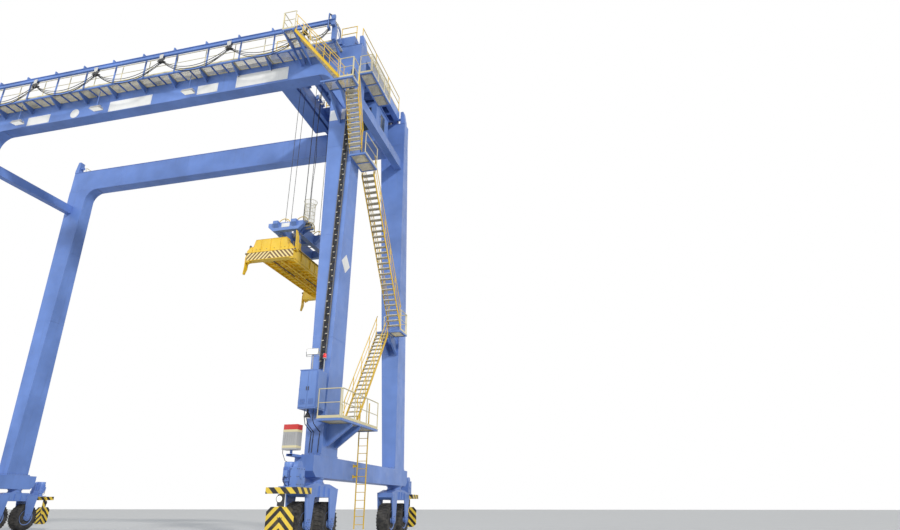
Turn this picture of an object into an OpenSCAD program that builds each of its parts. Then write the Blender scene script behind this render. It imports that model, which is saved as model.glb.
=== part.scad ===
// Rubber tyred gantry crane, full size, millimetres, Z up.
// Sizes are laid out from the middle of the portal: X runs along the girders towards
// the stair end, Y runs across from the near portal side to the far one. The origin
// is on the ground under the middle of the whole crane, stairs included.

/* [Main frame] */
// Overall length of the portal across the yard lanes
portal_length = 24500; // [20000:100:32000]
// Height of the girder tops above the ground
girder_top = 23200; // [18000:50:28000]
// Depth of each girder
girder_depth = 1550; // [1000:10:2200]
// Width of each girder box
girder_width = 700; // [500:10:1000]
// Clear gap between the two girders
girder_gap = 6300; // [5000:10:8000]
// Leg width along the girders at the top
leg_top_width = 1480; // [900:10:2000]
// Leg width along the girders at the foot
leg_foot_width = 680; // [500:10:740]
// Leg depth across the portal at the foot
leg_foot_depth = 1400; // [900:10:2000]
// How far the leg foot stands out past the girder
leg_foot_spread = 1000; // [0:10:1300]
// Radius of the rounded corner between leg and girder
haunch_radius = 800; // [300:10:1200]
// Height of the top of the sill beams
sill_top = 3050; // [2800:10:4000]
// Depth of the sill beams
sill_depth = 750; // [600:10:1000]
// Width of the sill beams
sill_width = 760; // [740:10:900]
// Length of a sill beam beyond the middle of its bogie
sill_overhang = 900; // [700:10:1500]
// Depth of the side ties between the legs
tie_depth = 560; // [300:10:900]
// Height of the top of the side ties
tie_top = 20500; // [18000:10:20900]

/* [Bogies] */
// Outside diameter of a tyre
tyre_diameter = 1500; // [1200:10:1600]
// Width of a tyre
tyre_width = 560; // [300:10:620]
// Distance between the two wheels of a bogie
wheel_spacing = 1900; // [1700:10:2200]
// Distance of a bogie middle in from the outside of the bumper bars
bogie_inset = 2300; // [2100:10:2500]
// Reach of the striped bumper bars from the middle of the crane
bumper_reach = 6800; // [6500:10:7200]

/* [Stairs and walkways] */
// Clear width of the stair flights
stair_width = 570; // [450:10:700]
// Width of the girder walkways
walkway_width = 750; // [600:10:900]
// Height of the railings
railing_height = 1100; // [900:10:1200]
// Rise from one tread to the next
tread_rise = 220; // [180:5:250]

/* [Trolley and hoist] */
// Distance of the parked hoist from the outer leg faces
hoist_setback = 4300; // [4000:10:6000]
// Height of the spreader underside as parked
spreader_height = 12000; // [3000:50:16500]
// Length of the spreader as set
spreader_length = 6060; // [6060:10:8000]
// Width of the spreader
spreader_width = 2440; // [2300:10:2500]
// Pitch diameter of the rope sheaves on the headblock
sheave_diameter = 500; // [400:10:560]

/* [Show] */
// Sub-part to draw

/* [Hidden] */
blue = [0.27, 0.39, 0.74];
yellow = [0.92, 0.72, 0.15];
cream = [0.9, 0.87, 0.7];
black = [0.08, 0.08, 0.09];
grey = [0.62, 0.6, 0.56];
red = [0.8, 0.15, 0.12];
glass = [0.5, 0.6, 0.65];
round_steps = 64;

half_length = portal_length / 2;
girder_bottom = girder_top - girder_depth;
girder_inner = girder_gap / 2;
girder_outer = girder_inner + girder_width;
flange_lip = 20;
flange_plate = 25;
web_outer = girder_outer - flange_lip;
rail_y = girder_inner + 175;
rail_height = 100;
rail_top = girder_top + rail_height;
stop_length = 300;
stop_height = 850;
buffer_length = 200;
leg_foot_outer = girder_outer + leg_foot_spread;
leg_foot_inner = leg_foot_outer - leg_foot_depth;
leg_height = girder_bottom - sill_top;
foot_flange = 60;
foot_mid = half_length - sill_width / 2;
tie_width = 400;
tie_setback = 150;
sill_bottom = sill_top - sill_depth;

wheel_radius = tyre_diameter / 2;
axle_radius = 90;
axle_gap = 0.1;
fork_plate = 50;
fork_gap = 60;
fork_inner = tyre_width / 2 + fork_gap;
fork_outer = fork_inner + fork_plate;
beam_low = tyre_diameter + 140;
beam_high = sill_bottom - 200;
beam_end = beam_high - 140;
beam_half = wheel_spacing / 2 + 400;
bumper_high = 1920;
bumper_depth = 200;
bumper_plate = 60;

walk_high = girder_top - 250;
walk_plate = 40;
walk_edge = 100;
walk_outer = girder_outer + walkway_width;
walk_left = -half_length + 50;
walk_right = half_length - 1050;
bridge_low_x = half_length - 3350;
bridge_high_x = half_length - 2650;
bridge_outer = walk_outer + 1300;
festoon_y = walk_outer + 300;
festoon_low = girder_top + 600;
festoon_high = girder_top + 850;
post = 50;
bar = 40;

stringer = 30;
stringer_half = 110;
flight_outer = stair_width + 2 * stringer;
landing_plate = 80;
landing_1_drop = 2350;
landing_2_drop = 3060;
landing_3_rise = 5300;
platform_rise = 1250;
landing_1_high = girder_bottom - landing_1_drop;
landing_2_high = landing_1_high - landing_2_drop;
platform_high = sill_top + platform_rise;
landing_3_high = platform_high + landing_3_rise;
end_platform_high = girder_bottom - 450;
landing_1_near = -bridge_outer - 100;
landing_1_far = landing_1_near + 700;
landing_2_near = -4400;
landing_2_far = -2900;
landing_3_near = 1750;
landing_3_far = 2750;
platform_near = -5500;
platform_far = -1800;
outer_x = half_length + flight_outer + 20;
landing_2_x = half_length + 800;
platform_x = half_length + 1000;
inner_x = half_length - flight_outer - 20;
left_x = half_length + 200;
origin_shift = (platform_x - left_x) / 2;

hoist_x = half_length - hoist_setback;
trolley_left = hoist_x - 1050;
trolley_right = half_length - 550;
trolley_deck_right = half_length - 350;
trolley_walk_left = trolley_left - 600;
trolley_low = rail_top + 60;
trolley_high = trolley_low + 600;
carriage_low = rail_top + 150;
carriage_high = carriage_low + 600;
carriage_half = 250;
trolley_wheel_radius = 250;
rail_gap = 0.5;
rope_radius = 14;
rope_x = 500;
rope_y = 900;
sheave_groove = sheave_diameter / 2;
sheave_rim = sheave_groove + 40;
sheave_z = spreader_height + 2700;

end_beam_low = spreader_height + 50;
end_beam_width = 300;
end_y = spreader_length / 2 - end_beam_width;
main_half = 780;
end_gap = 30;
main_reach = end_y - end_gap;
main_low = spreader_height + 350;
main_high = main_low + 640;
arm_width = 300;
arm_depth = 500;
arm_gap = 10;
pad_gap = 0.3;
arm_low = main_low + 70;
arm_tail = main_reach - 140;
far_arms = [-200, 600];
near_arms = [-600, 200];
pedestal_high = spreader_height + 1500;
lock_x = 1129.5;
lock_inset = 103.5;
flipper_x = spreader_width / 2 + 60;
flipper_z = spreader_height + 450;
flipper_pin = 25;
flipper_length = 1000;
lug_plate = 40;
knuckle_half = 85;
pin_length = 2 * knuckle_half + 2 * lug_plate;

cab_length = 1650;
cab_inset = 800;
cab_right = half_length - cab_inset;
cab_left = cab_right - cab_length;
cab_near = 500;
cab_far = 2400;
cab_high = trolley_low - 460;
cab_height = 2600;
cab_low = cab_high - cab_height;
cab_wall = 60;

// Shim left between slanted faces that bear on each other
shim = 0.05;
bogie_reach = bumper_reach - bogie_inset;
sill_reach = bogie_reach + sill_overhang;

function leg_outer(z) = girder_outer + leg_foot_spread * (girder_bottom - z) / leg_height;
function leg_inner(z) = girder_inner + (leg_foot_inner - girder_inner) * (girder_bottom - z) / leg_height;
leg_lean = atan(leg_foot_spread / leg_height);
leg_edge_slope = (leg_top_width - leg_foot_width) / leg_height;

// Moves the layout so that the whole crane is centred over the origin
module set_origin() {
    translate([-origin_shift, 0, 0])
        children();
}

// Extrudes a profile drawn in Y and Z along X
module along_x(start, length) {
    translate([start, 0, 0])
        rotate([90, 0, 90])
            linear_extrude(length)
                children();
}

// Extrudes a profile drawn in X and Z along Y
module along_y(start, length) {
    translate([0, start + length, 0])
        rotate([90, 0, 0])
            linear_extrude(length)
                children();
}

module block(low, high) {
    translate(low)
        cube(high - low);
}

// Girder box with flange lips, trolley rail and end stops
module girder() {
    along_x(-half_length, portal_length) {
        translate([girder_inner, girder_bottom])
            square([girder_width, flange_plate]);
        translate([girder_inner + flange_lip, girder_bottom])
            square([girder_width - 2 * flange_lip, girder_depth]);
        translate([girder_inner, girder_top - flange_plate])
            square([girder_width, flange_plate]);
    }
    along_x(-half_length + stop_length, portal_length - 2 * stop_length)
        translate([rail_y, girder_top])
            polygon([
                [-70, -1], [70, -1], [70, 10], [18, 24], [18, 62], [35, 70],
                [35, 94], [29, rail_height], [-29, rail_height], [-35, 94],
                [-35, 70], [-18, 62], [-18, 24], [-70, 10]
            ]);
    for (side = [-1, 1])
        scale([side, 1, 1])
            end_stop();
}

module end_stop() {
    post_x = half_length - stop_length;
    along_y(girder_inner, 2 * (rail_y - girder_inner))
        polygon([
            [post_x, girder_top - 1], [half_length, girder_top - 1], [half_length, girder_top + 150],
            [post_x + 180, girder_top + stop_height], [post_x, girder_top + stop_height]
        ]);
    translate([post_x - buffer_length, rail_y, rail_top + 300])
        rotate([0, 90, 0])
            cylinder(r = 80, h = buffer_length + 1, $fn = 48);
    translate([post_x - buffer_length + 20, rail_y, rail_top + 300])
        rotate([0, -90, 0])
            cylinder(r = 110, h = 20, $fn = 48);
}

// Leg side outline with the rounded corner under the girder
module leg_outline() {
    haunch_edge = half_length - leg_top_width + haunch_radius * leg_edge_slope;
    polygon([
        [half_length, girder_bottom], [half_length - leg_top_width, girder_bottom],
        [half_length - leg_foot_width, sill_top], [half_length, sill_top]
    ]);
    translate([haunch_edge - haunch_radius, girder_bottom - haunch_radius])
        difference() {
            square([haunch_radius + 60, haunch_radius]);
            circle(r = haunch_radius, $fn = round_steps);
        }
}

// Leg tapering in both directions, with a flange at its foot
module leg() {
    intersection() {
        along_y(0, leg_foot_outer + 10)
            leg_outline();
        along_x(0, half_length)
            polygon([
                [girder_inner, girder_bottom], [girder_outer, girder_bottom],
                [leg_foot_outer, sill_top], [leg_foot_inner, sill_top]
            ]);
    }
    block(
        [half_length - sill_width, leg_foot_inner - 70, sill_top],
        [half_length, leg_foot_outer + 70, sill_top + foot_flange]
    );
}

module sill() {
    along_x(half_length - sill_width, sill_width)
        polygon([
            [-sill_reach, sill_top], [-sill_reach, sill_bottom + 200],
            [-sill_reach + 260, sill_bottom], [sill_reach - 260, sill_bottom],
            [sill_reach, sill_bottom + 200], [sill_reach, sill_top]
        ]);
}

module leg_ties() {
    low = tie_top - tie_depth;
    for (side = [-1, 1])
        scale([side, 1, 1])
            along_x(half_length - tie_setback - tie_width, tie_width)
                polygon([
                    [shim - leg_inner(tie_top), tie_top], [shim - leg_inner(low), low],
                    [leg_inner(low) - shim, low], [leg_inner(tie_top) - shim, tie_top]
                ]);
}

// Fork plate outline round one axle, middle of the bogie at zero
module fork_outline(reach) {
    polygon([
        [reach - 380, beam_end], [reach - 190, wheel_radius - 40],
        [reach + 190, wheel_radius - 40], [reach + 380, beam_end]
    ]);
    translate([reach, wheel_radius])
        circle(r = 200, $fn = round_steps);
}

// Two wheel bogie under one corner, drawn for the right far corner
module bogie() {
    translate([foot_mid, bogie_reach, 0]) {
        translate([0, 0, beam_high])
            cylinder(r = 340, h = sill_bottom - beam_high, $fn = round_steps);
        along_x(-fork_inner, 2 * fork_inner)
            polygon([
                [-beam_half, beam_end], [-beam_half, beam_low + 110],
                [-beam_half + 200, beam_low], [beam_half - 200, beam_low],
                [beam_half, beam_low + 110], [beam_half, beam_end],
                [beam_half - 700, beam_high], [-beam_half + 700, beam_high]
            ]);
        for (end = [-1, 1]) {
            for (side = [-fork_outer, fork_inner])
                along_x(side, fork_plate)
                    fork_outline(end * wheel_spacing / 2);
            translate([0, end * wheel_spacing / 2, wheel_radius])
                rotate([0, 90, 0]) {
                    cylinder(r = axle_radius, h = 2 * fork_outer, center = true, $fn = round_steps);
                    for (cap = [-1, 1])
                        translate([0, 0, cap * (fork_outer + 15)])
                            cylinder(r = 130, h = 31, center = true, $fn = round_steps);
                }
        }
    }
}

// Tyre, rim and hub turned as one wheel
module wheel() {
    half = tyre_width / 2;
    hub = fork_inner - 0.5;
    rotate([0, 90, 0])
        rotate_extrude($fn = 96)
            polygon([
                [axle_radius + axle_gap, -hub], [150, -hub], [150, -150],
                [340, -110], [400, -half + 30], [430, -half + 10], [600, -half], [690, -half + 25],
                [wheel_radius - 15, -half + 60], [wheel_radius, -half + 120],
                [wheel_radius, half - 120], [wheel_radius - 15, half - 60],
                [690, half - 25], [600, half], [430, half - 10], [400, half - 30],
                [340, 110], [150, 150], [150, hub], [axle_radius + axle_gap, hub]
            ]);
}

module place_wheel(side, face, end) {
    translate([side * foot_mid, face * bogie_reach + end * wheel_spacing / 2, wheel_radius])
        wheel();
}

module at_corners() {
    for (side = [-1, 1])
        for (face = [-1, 1])
            scale([side, face, 1])
                children();
}

// Gearcase and motor standing on the outer end of each bogie
module drive_units() {
    base = bogie_reach + beam_half;
    at_corners() {
        block([foot_mid - 320, base, beam_low + 110], [foot_mid + 320, base + 40, beam_end + 300]);
        block([foot_mid - 320, base + 40, beam_end - 40], [foot_mid + 320, base + 620, beam_end]);
        block([foot_mid + 20, base + 40, beam_end], [foot_mid + 320, base + 520, beam_end + 620]);
        along_x(foot_mid + 80, 180)
            translate([base + 280, beam_end + 620])
                circle(r = 200, $fn = round_steps);
        translate([foot_mid - 150, base + 270, beam_end]) {
            cylinder(r = 150, h = 150, $fn = round_steps);
            translate([0, 0, 149])
                cylinder(r = 190, h = 520, $fn = round_steps);
            translate([0, 0, 668])
                cylinder(r = 165, h = 90, $fn = round_steps);
        }
    }
}

// Striped bars across the ends of the bogies, with the side returns
module bumper_bars() {
    low = bumper_high - bumper_depth;
    base = bogie_reach + beam_half + 40;
    back = bogie_reach + wheel_spacing / 2 + 330;
    bar_left = half_length - 970;
    at_corners() {
        block([bar_left, bumper_reach - bumper_plate, low], [left_x, bumper_reach, bumper_high]);
        block([left_x - 50, back, low], [left_x, bumper_reach, bumper_high]);
        block([foot_mid + fork_outer, back, low], [left_x, back + 50, bumper_high]);
        block([foot_mid - 100, base, low + 30], [foot_mid + 100, bumper_reach, bumper_high - 30]);
        block(
            [foot_mid - 100, bumper_reach - bumper_plate - 20, 900],
            [foot_mid + 100, bumper_reach - bumper_plate, bumper_high]
        );
    }
}

module chevron_boards() {
    low = 350;
    high = 1320;
    half = 500;
    cut = 150;
    at_corners()
        along_y(bumper_reach - bumper_plate, 25)
            translate([foot_mid, 0])
                polygon([
                    [-half + cut, low], [half - cut, low], [half, low + cut], [half, high - cut],
                    [half - cut, high], [-half + cut, high], [-half, high - cut], [-half, low + cut]
                ]);
}

// Walkway floor with its edge strips and brackets, drawn for the far side
module walkway(brackets) {
    block([walk_left, web_outer, walk_high - walk_plate], [walk_right, walk_outer, walk_high]);
    block([walk_left, walk_outer - 20, walk_high - walk_edge], [walk_right, walk_outer, walk_high]);
    for (step = [0 : brackets])
        along_x(walk_left + 100 + step * (walk_right - walk_left - 220) / brackets, 20)
            polygon([
                [web_outer, walk_high - walk_plate], [web_outer, walk_high - 450],
                [web_outer + 80, walk_high - 450], [walk_outer - 20, walk_high - 120],
                [walk_outer - 20, walk_high - walk_plate]
            ]);
}

// Upright railing panel along X, standing on z
module railing_x(start, end, y, z, bays) {
    for (step = [0 : bays])
        block(
            [start + step * (end - start - post) / bays, y, z],
            [start + step * (end - start - post) / bays + post, y + post, z + railing_height]
        );
    for (level = [railing_height - bar, railing_height / 2])
        block([start, y + 5, z + level], [end, y + post - 5, z + level + bar]);
    block([start, y + 15, z + 10], [end, y + post - 15, z + 110]);
}

module railing_y(start, end, x, z, bays) {
    for (step = [0 : bays])
        block(
            [x, start + step * (end - start - post) / bays, z],
            [x + post, start + step * (end - start - post) / bays + post, z + railing_height]
        );
    for (level = [railing_height - bar, railing_height / 2])
        block([x + 5, start, z + level], [x + post - 5, end, z + level + bar]);
    block([x + 15, start, z + 10], [x + post - 15, end, z + 110]);
}

module near_railing() {
    edge = -walk_outer + 5;
    railing_x(walk_left, bridge_low_x, edge, walk_high, 12);
    railing_x(bridge_high_x, walk_right, edge, walk_high, 1);
    railing_y(-walk_outer + post + 15, -girder_outer - 10, walk_left, walk_high, 1);
}

module far_railing() {
    railing_x(walk_left, walk_right, walk_outer - post - 5, walk_high, 13);
    railing_y(girder_outer + 10, walk_outer - post - 15, walk_left, walk_high, 1);
}

// Cable rail hung from goosenecks on the near walkway edge
module festoon_rail() {
    last = walk_right - 3550;
    pitch = 1950;
    neck = 60;
    translate([0, -festoon_y, 0])
        along_x(walk_left, walk_right - walk_left)
            polygon([
                [-60, festoon_low], [60, festoon_low], [60, festoon_low + 30], [12, festoon_low + 45],
                [12, festoon_high - 45], [60, festoon_high - 30], [60, festoon_high],
                [-60, festoon_high], [-60, festoon_high - 30], [-12, festoon_high - 45],
                [-12, festoon_low + 45], [-60, festoon_low + 30]
            ]);
    for (step = [0 : floor((last - walk_left) / pitch)])
        along_x(last - step * pitch, neck)
            polygon([
                [-walk_outer, walk_high - walk_edge], [-walk_outer - neck, walk_high - walk_edge],
                [-walk_outer - neck, festoon_high + 80], [-walk_outer - 130, festoon_high + 150],
                [-festoon_y + 30, festoon_high + 150], [-festoon_y + 30, festoon_high - 1],
                [-festoon_y - 30, festoon_high - 1], [-festoon_y - 30, festoon_high + 210],
                [-walk_outer - 110, festoon_high + 210], [-walk_outer, festoon_high + 100]
            ]);
    end_post = walk_right - 200;
    block([end_post, -walk_outer - 200, walk_high - 60], [end_post + 200, -walk_outer, festoon_low + 1]);
    block([end_post, -festoon_y - 60, festoon_low - 140], [end_post + 200, -walk_outer, festoon_low + 1]);
    block(
        [end_post, -festoon_y - 60, festoon_high - 1],
        [end_post + 200, -festoon_y + 60, festoon_high + 250]
    );
}

// Floors where the flights turn
module landings() {
    block(
        [bridge_low_x, -bridge_outer, walk_high - landing_plate],
        [bridge_high_x, -walk_outer, walk_high]
    );
    for (arm = [bridge_low_x + 60, bridge_high_x - 120])
        along_x(arm, 60)
            polygon([
                [-web_outer, walk_high - 460], [-web_outer, walk_high - 600],
                [-bridge_outer, walk_high - landing_plate - 80],
                [-bridge_outer, walk_high - landing_plate + 1],
                [-walk_outer - 300, walk_high - landing_plate + 1], [-walk_outer, walk_high - 260]
            ]);
    landing_1();
    block(
        [half_length, landing_2_near, landing_2_high - landing_plate],
        [landing_2_x, landing_2_far, landing_2_high]
    );
    landing_3();
    foot_platform();
    block(
        [half_length, -3950, end_platform_high - landing_plate],
        [half_length + 700, -1300, end_platform_high]
    );
}

module landing_1() {
    low = landing_1_high - landing_plate;
    block([half_length - 950, landing_1_near, low], [outer_x, landing_1_far, landing_1_high]);
    for (arm = [half_length - 800, half_length - 200])
        along_x(arm, 100)
            polygon([
                [-leg_outer(landing_1_high) - shim, landing_1_high],
                [-leg_outer(low - 900) - shim, low - 900],
                [-leg_outer(low - 900) - 90, low - 900], [landing_1_far - 100, low - 120],
                [landing_1_near, low - 120], [landing_1_near, low + 1],
                [landing_1_far - 10, low + 1], [landing_1_far - 10, landing_1_high]
            ]);
}

module landing_3() {
    low = landing_3_high - landing_plate;
    block([inner_x, landing_3_near, low], [outer_x, landing_3_far, landing_3_high]);
    for (arm = [inner_x + 60, half_length - 160])
        along_x(arm, 100)
            polygon([
                [leg_inner(landing_3_high) - shim, landing_3_high],
                [leg_inner(low - 800) - shim, low - 800],
                [leg_inner(low - 800) - 90, low - 800], [landing_3_near + 300, low - 100],
                [landing_3_near + 300, low + 1], [landing_3_far - 10, low + 1],
                [landing_3_far - 10, landing_3_high]
            ]);
}

module foot_platform() {
    low = platform_high - landing_plate;
    block([half_length, platform_near, low], [platform_x, platform_far, platform_high]);
    block([inner_x, platform_far - 1600, low], [half_length + 1, platform_far, platform_high]);
    for (arm = [-4550, -3750])
        along_y(arm, 100)
            polygon([
                [half_length, low + 1], [half_length, low - 800], [half_length + 90, low - 800],
                [platform_x, low - 100], [platform_x, low + 1]
            ]);
}

// Side plate of a flight between two points of a profile plane
module stringer_outline(a, z_a, b, z_b) {
    polygon([
        [a, z_a - stringer_half], [b, z_b - stringer_half],
        [b, z_b + stringer_half], [a, z_a + stringer_half]
    ]);
}

// Flight drawn running along the profile plane's first axis, x is its near side
module flight(a, z_a, b, z_b) {
    steps = round((z_a - z_b) / tread_rise);
    run = (b - a) / steps;
    rise = (z_b - z_a) / steps;
    for (side = [0, stair_width + stringer])
        along_x(side, stringer)
            stringer_outline(a, z_a - 140, b, z_b + 140);
    for (step = [1 : steps - 1])
        block(
            [stringer - 1, a + run * step - 110, z_a + rise * step - 35],
            [stringer + stair_width + 1, a + run * step + 110, z_a + rise * step]
        );
}

// One handrail panel following the flight's side plate
module handrail_outline(a, z_a, b, z_b, posts) {
    function edge(t) = [a + (b - a) * t, z_a + (z_b - z_a) * t + stringer_half + shim];
    thick = 36 / abs(b - a);
    for (step = [0 : posts]) {
        t = 0.03 + (0.94 - thick) * step / posts;
        polygon([
            edge(t), edge(t + thick), edge(t + thick) + [0, 900], edge(t) + [0, 900]
        ]);
    }
    for (level = [420, 860])
        polygon([
            edge(0.01) + [0, level], edge(0.99) + [0, level],
            edge(0.99) + [0, level + 50], edge(0.01) + [0, level + 50]
        ]);
}

module handrails(a, z_a, b, z_b, posts) {
    inset = 2;
    for (side = [0, stair_width + stringer + inset])
        along_x(side, stringer - inset)
            handrail_outline(a, z_a - 140, b, z_b + 140, posts);
}

module place_upper() {
    translate([0, -bridge_outer + flight_outer, 0])
        rotate([0, 0, -90])
            children();
}

upper_top = [bridge_high_x, walk_high];
upper_foot = [half_length - 60, landing_1_high];

module upper_flight() {
    place_upper()
        flight(upper_top.x, upper_top.y, upper_foot.x, upper_foot.y);
}

module flight_1() {
    translate([half_length + 10, 0, 0])
        flight(landing_1_far, landing_1_high, landing_2_near, landing_2_high);
}

module flight_2() {
    translate([half_length + 10, 0, 0])
        flight(landing_2_far, landing_2_high, landing_3_near, landing_3_high);
}

module flight_3() {
    translate([inner_x + 10, 0, 0])
        scale([1, -1, 1])
            flight(-landing_3_near, landing_3_high, -platform_far, platform_high);
}

module stair_handrails() {
    place_upper()
        handrails(upper_top.x, upper_top.y, upper_foot.x, upper_foot.y, 3);
    translate([half_length + 10, 0, 0]) {
        handrails(landing_1_far, landing_1_high, landing_2_near, landing_2_high, 2);
        handrails(landing_2_far, landing_2_high, landing_3_near, landing_3_high, 5);
    }
    translate([inner_x + 10, 0, 0])
        scale([1, -1, 1])
            handrails(-landing_3_near, landing_3_high, -platform_far, platform_high, 4);
}

module landing_railings() {
    railing_x(bridge_low_x, bridge_high_x, -bridge_outer, walk_high, 1);
    railing_y(-bridge_outer + post + 10, -walk_outer - 380, bridge_low_x, walk_high, 1);
    railing_x(half_length - 40, outer_x, landing_1_near, landing_1_high, 1);
    railing_y(landing_1_near + post + 10, landing_1_far, outer_x - post, landing_1_high, 1);
    railing_y(landing_2_near, landing_2_far, landing_2_x - post, landing_2_high, 1);
    railing_y(landing_3_near, landing_3_far, outer_x - post, landing_3_high, 1);
    railing_x(inner_x, outer_x - post - 10, landing_3_far - post, landing_3_high, 1);
    railing_y(platform_near, platform_far, platform_x - post, platform_high, 3);
    railing_x(half_length, platform_x - post - 10, platform_near, platform_high, 1);
    railing_y(platform_far - 1600, platform_far - 20, inner_x, platform_high, 1);
    railing_y(-3950, -1300, half_length + 700 - post, end_platform_high, 3);
    railing_x(half_length + 10, half_length + 690 - post, -3950, end_platform_high, 1);
    railing_x(half_length + 10, half_length + 690 - post, -1300 - post, end_platform_high, 1);
}

// Upright ladder from the foot platform towards the ground
module access_ladder() {
    foot = 500;
    near_x = half_length + 150;
    far_x = half_length + 550;
    high = platform_high + railing_height;
    for (x = [near_x, far_x])
        block([x, platform_far, foot], [x + 50, platform_far + 40, high]);
    for (rung = [1 : floor((platform_high - foot) / 300)])
        block(
            [near_x + 1, platform_far + 5, foot + rung * 300 - 150],
            [far_x + 49, platform_far + 35, foot + rung * 300 - 120]
        );
    for (level = [sill_bottom + 120, sill_top - 220])
        block([half_length, platform_far, level], [near_x + 1, platform_far + 40, level + 80]);
}

// Cable tray up the near face of the right leg
module cable_ladder() {
    low_z = platform_high + 2350;
    length = (girder_bottom - low_z - 500) / cos(leg_lean);
    half = 130;
    translate([half_length - 330, -leg_outer(low_z), low_z])
        rotate([-leg_lean, 0, 0]) {
            for (side = [-half, half - 30])
                block([side, -70, 0], [side + 30, -0.2, length]);
            for (rung = [0 : floor(length / 300) - 1])
                block([-half + 29, -60, rung * 300 + 60], [half - 29, -30, rung * 300 + 100]);
        }
}

// Electric cabinet on brackets at the near right leg
module cabinet() {
    low = platform_high + 350;
    high = low + 1410;
    left = half_length - 700;
    back = -leg_outer(low) - 110;
    front = back - 800;
    block([left, front, low], [half_length, back, high]);
    block([left - 20, front - 20, high], [half_length, back, high + 30]);
    for (level = [low + 100, high - 250])
        for (x = [left + 120, half_length - 160])
            along_x(x, 60)
                polygon([
                    [back - 1, level], [-leg_outer(level) - shim, level],
                    [-leg_outer(level + 120) - shim, level + 120], [back - 1, level + 120]
                ]);
}

// Banded box with a red lid beyond the sill end
module signal_box() {
    low = sill_top + 120;
    left = half_length - 880;
    front = -sill_reach - 800;
    block([left + 150, -sill_reach - 700, sill_top - 90], [left + 400, -sill_reach, sill_top - 10]);
    block([left + 225, -sill_reach - 640, sill_top - 11], [left + 325, -sill_reach - 540, low]);
    difference() {
        block([left, front, low], [left + 550, front + 400, low + 870]);
        for (level = [120, 560])
            difference() {
                block([left - 1, front - 1, low + level], [left + 551, front + 401, low + level + 20]);
                block([left + 12, front + 12, low], [left + 538, front + 388, low + 870]);
            }
    }
}

// Work light, beacon and leg lamp by the cabinet
module leg_lamps() {
    top = platform_high + 350 + 1440;
    back = -leg_outer(platform_high + 350) - 110;
    post_y = back - 400;
    block([half_length - 500, post_y, top], [half_length - 440, post_y + 60, top + 950]);
    block([half_length - 720, post_y - 60, top + 640], [half_length - 220, post_y, top + 900]);
    translate([half_length - 100, back - 120, top]) {
        cylinder(r = 30, h = 560, $fn = 32);
        translate([0, 0, 559])
            cylinder(r = 70, h = 200, $fn = 48);
    }
    low = platform_high + 350;
    block([half_length - 430, back - 560, low - 120], [half_length - 370, back - 500, low]);
    translate([half_length - 400, back - 530, low - 300])
        cylinder(r1 = 110, r2 = 70, h = 181, $fn = 48);
}

// Trolley frame: end carriages over the rails, cross beams and deck
module trolley_frame() {
    for (face = [-1, 1])
        scale([1, face, 1])
            carriage();
    for (x = [trolley_left, hoist_x - 600, hoist_x + 400, hoist_x + 1500, trolley_deck_right - 300])
        block([x, -rail_y + carriage_half - 1, trolley_low], [
            x + (x == trolley_left || x > hoist_x + 400 ? 300 : 200),
            rail_y - carriage_half + 1, trolley_high
        ]);
    block(
        [hoist_x + 700, -rail_y + carriage_half - 1, trolley_high - 60],
        [trolley_deck_right, rail_y - carriage_half + 1, trolley_high]
    );
    for (face = [-1, 1])
        scale([1, face, 1])
            block(
                [trolley_left, 1500, trolley_high - 60],
                [hoist_x + 701, rail_y - carriage_half + 1, trolley_high]
            );
    for (y = [-1700, -150, 1400])
        block([hoist_x + 600, y, trolley_low + 100], [trolley_deck_right, y + 300, trolley_high]);
    for (y = [cab_near + 50, cab_far - 250])
        block([hoist_x + 1500, y, trolley_low], [trolley_deck_right, y + 200, trolley_high]);
    block(
        [trolley_walk_left, -rail_y + carriage_half, trolley_low + 10],
        [trolley_left + 1, rail_y - carriage_half, trolley_low + 70]
    );
}

module carriage() {
    wheel_z = rail_top + trolley_wheel_radius + rail_gap;
    difference() {
        block(
            [trolley_left, rail_y - carriage_half, carriage_low],
            [trolley_right, rail_y + carriage_half, carriage_high]
        );
        for (x = [trolley_left + 600, trolley_right - 600])
            block(
                [x - trolley_wheel_radius - 40, rail_y - 80, carriage_low - 1],
                [x + trolley_wheel_radius + 40, rail_y + 80, wheel_z + trolley_wheel_radius + 30]
            );
    }
}

module trolley_wheels() {
    for (face = [-1, 1])
        for (x = [trolley_left + 600, trolley_right - 600])
            translate([x, face * rail_y, rail_top + trolley_wheel_radius + rail_gap])
                rotate([90, 0, 0]) {
                    cylinder(r = 60, h = 160, center = true, $fn = round_steps);
                    cylinder(r = trolley_wheel_radius, h = 110, center = true, $fn = round_steps);
                }
}

// Hoist drum on its bearings with gearcase and motors
module trolley_machinery() {
    drum_x = hoist_x + 1250;
    drum_z = trolley_high + 560;
    translate([drum_x, -1600, drum_z])
        rotate([-90, 0, 0]) {
            cylinder(r = 90, h = 3300, $fn = round_steps);
            translate([0, 0, 300])
                cylinder(r = 360, h = 2500, $fn = round_steps);
            for (end = [300, 1530, 2760])
                translate([0, 0, end])
                    cylinder(r = 420, h = 40, $fn = round_steps);
        }
    for (y = [-1600, 1200])
        along_y(y, 160)
            polygon([
                [drum_x - 260, trolley_high], [drum_x + 260, trolley_high],
                [drum_x + 150, drum_z + 130], [drum_x - 150, drum_z + 130]
            ]);
    block([drum_x - 300, 1450, trolley_high], [drum_x + 600, 1830, drum_z + 240]);
    translate([drum_x + 420, 1451, drum_z])
        rotate([90, 0, 0]) {
            cylinder(r = 130, h = 150, $fn = round_steps);
            translate([0, 0, 149])
                cylinder(r = 230, h = 700, $fn = round_steps);
        }
    block([drum_x + 260, 640, trolley_high], [drum_x + 580, 1180, drum_z - 180]);
}

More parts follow.
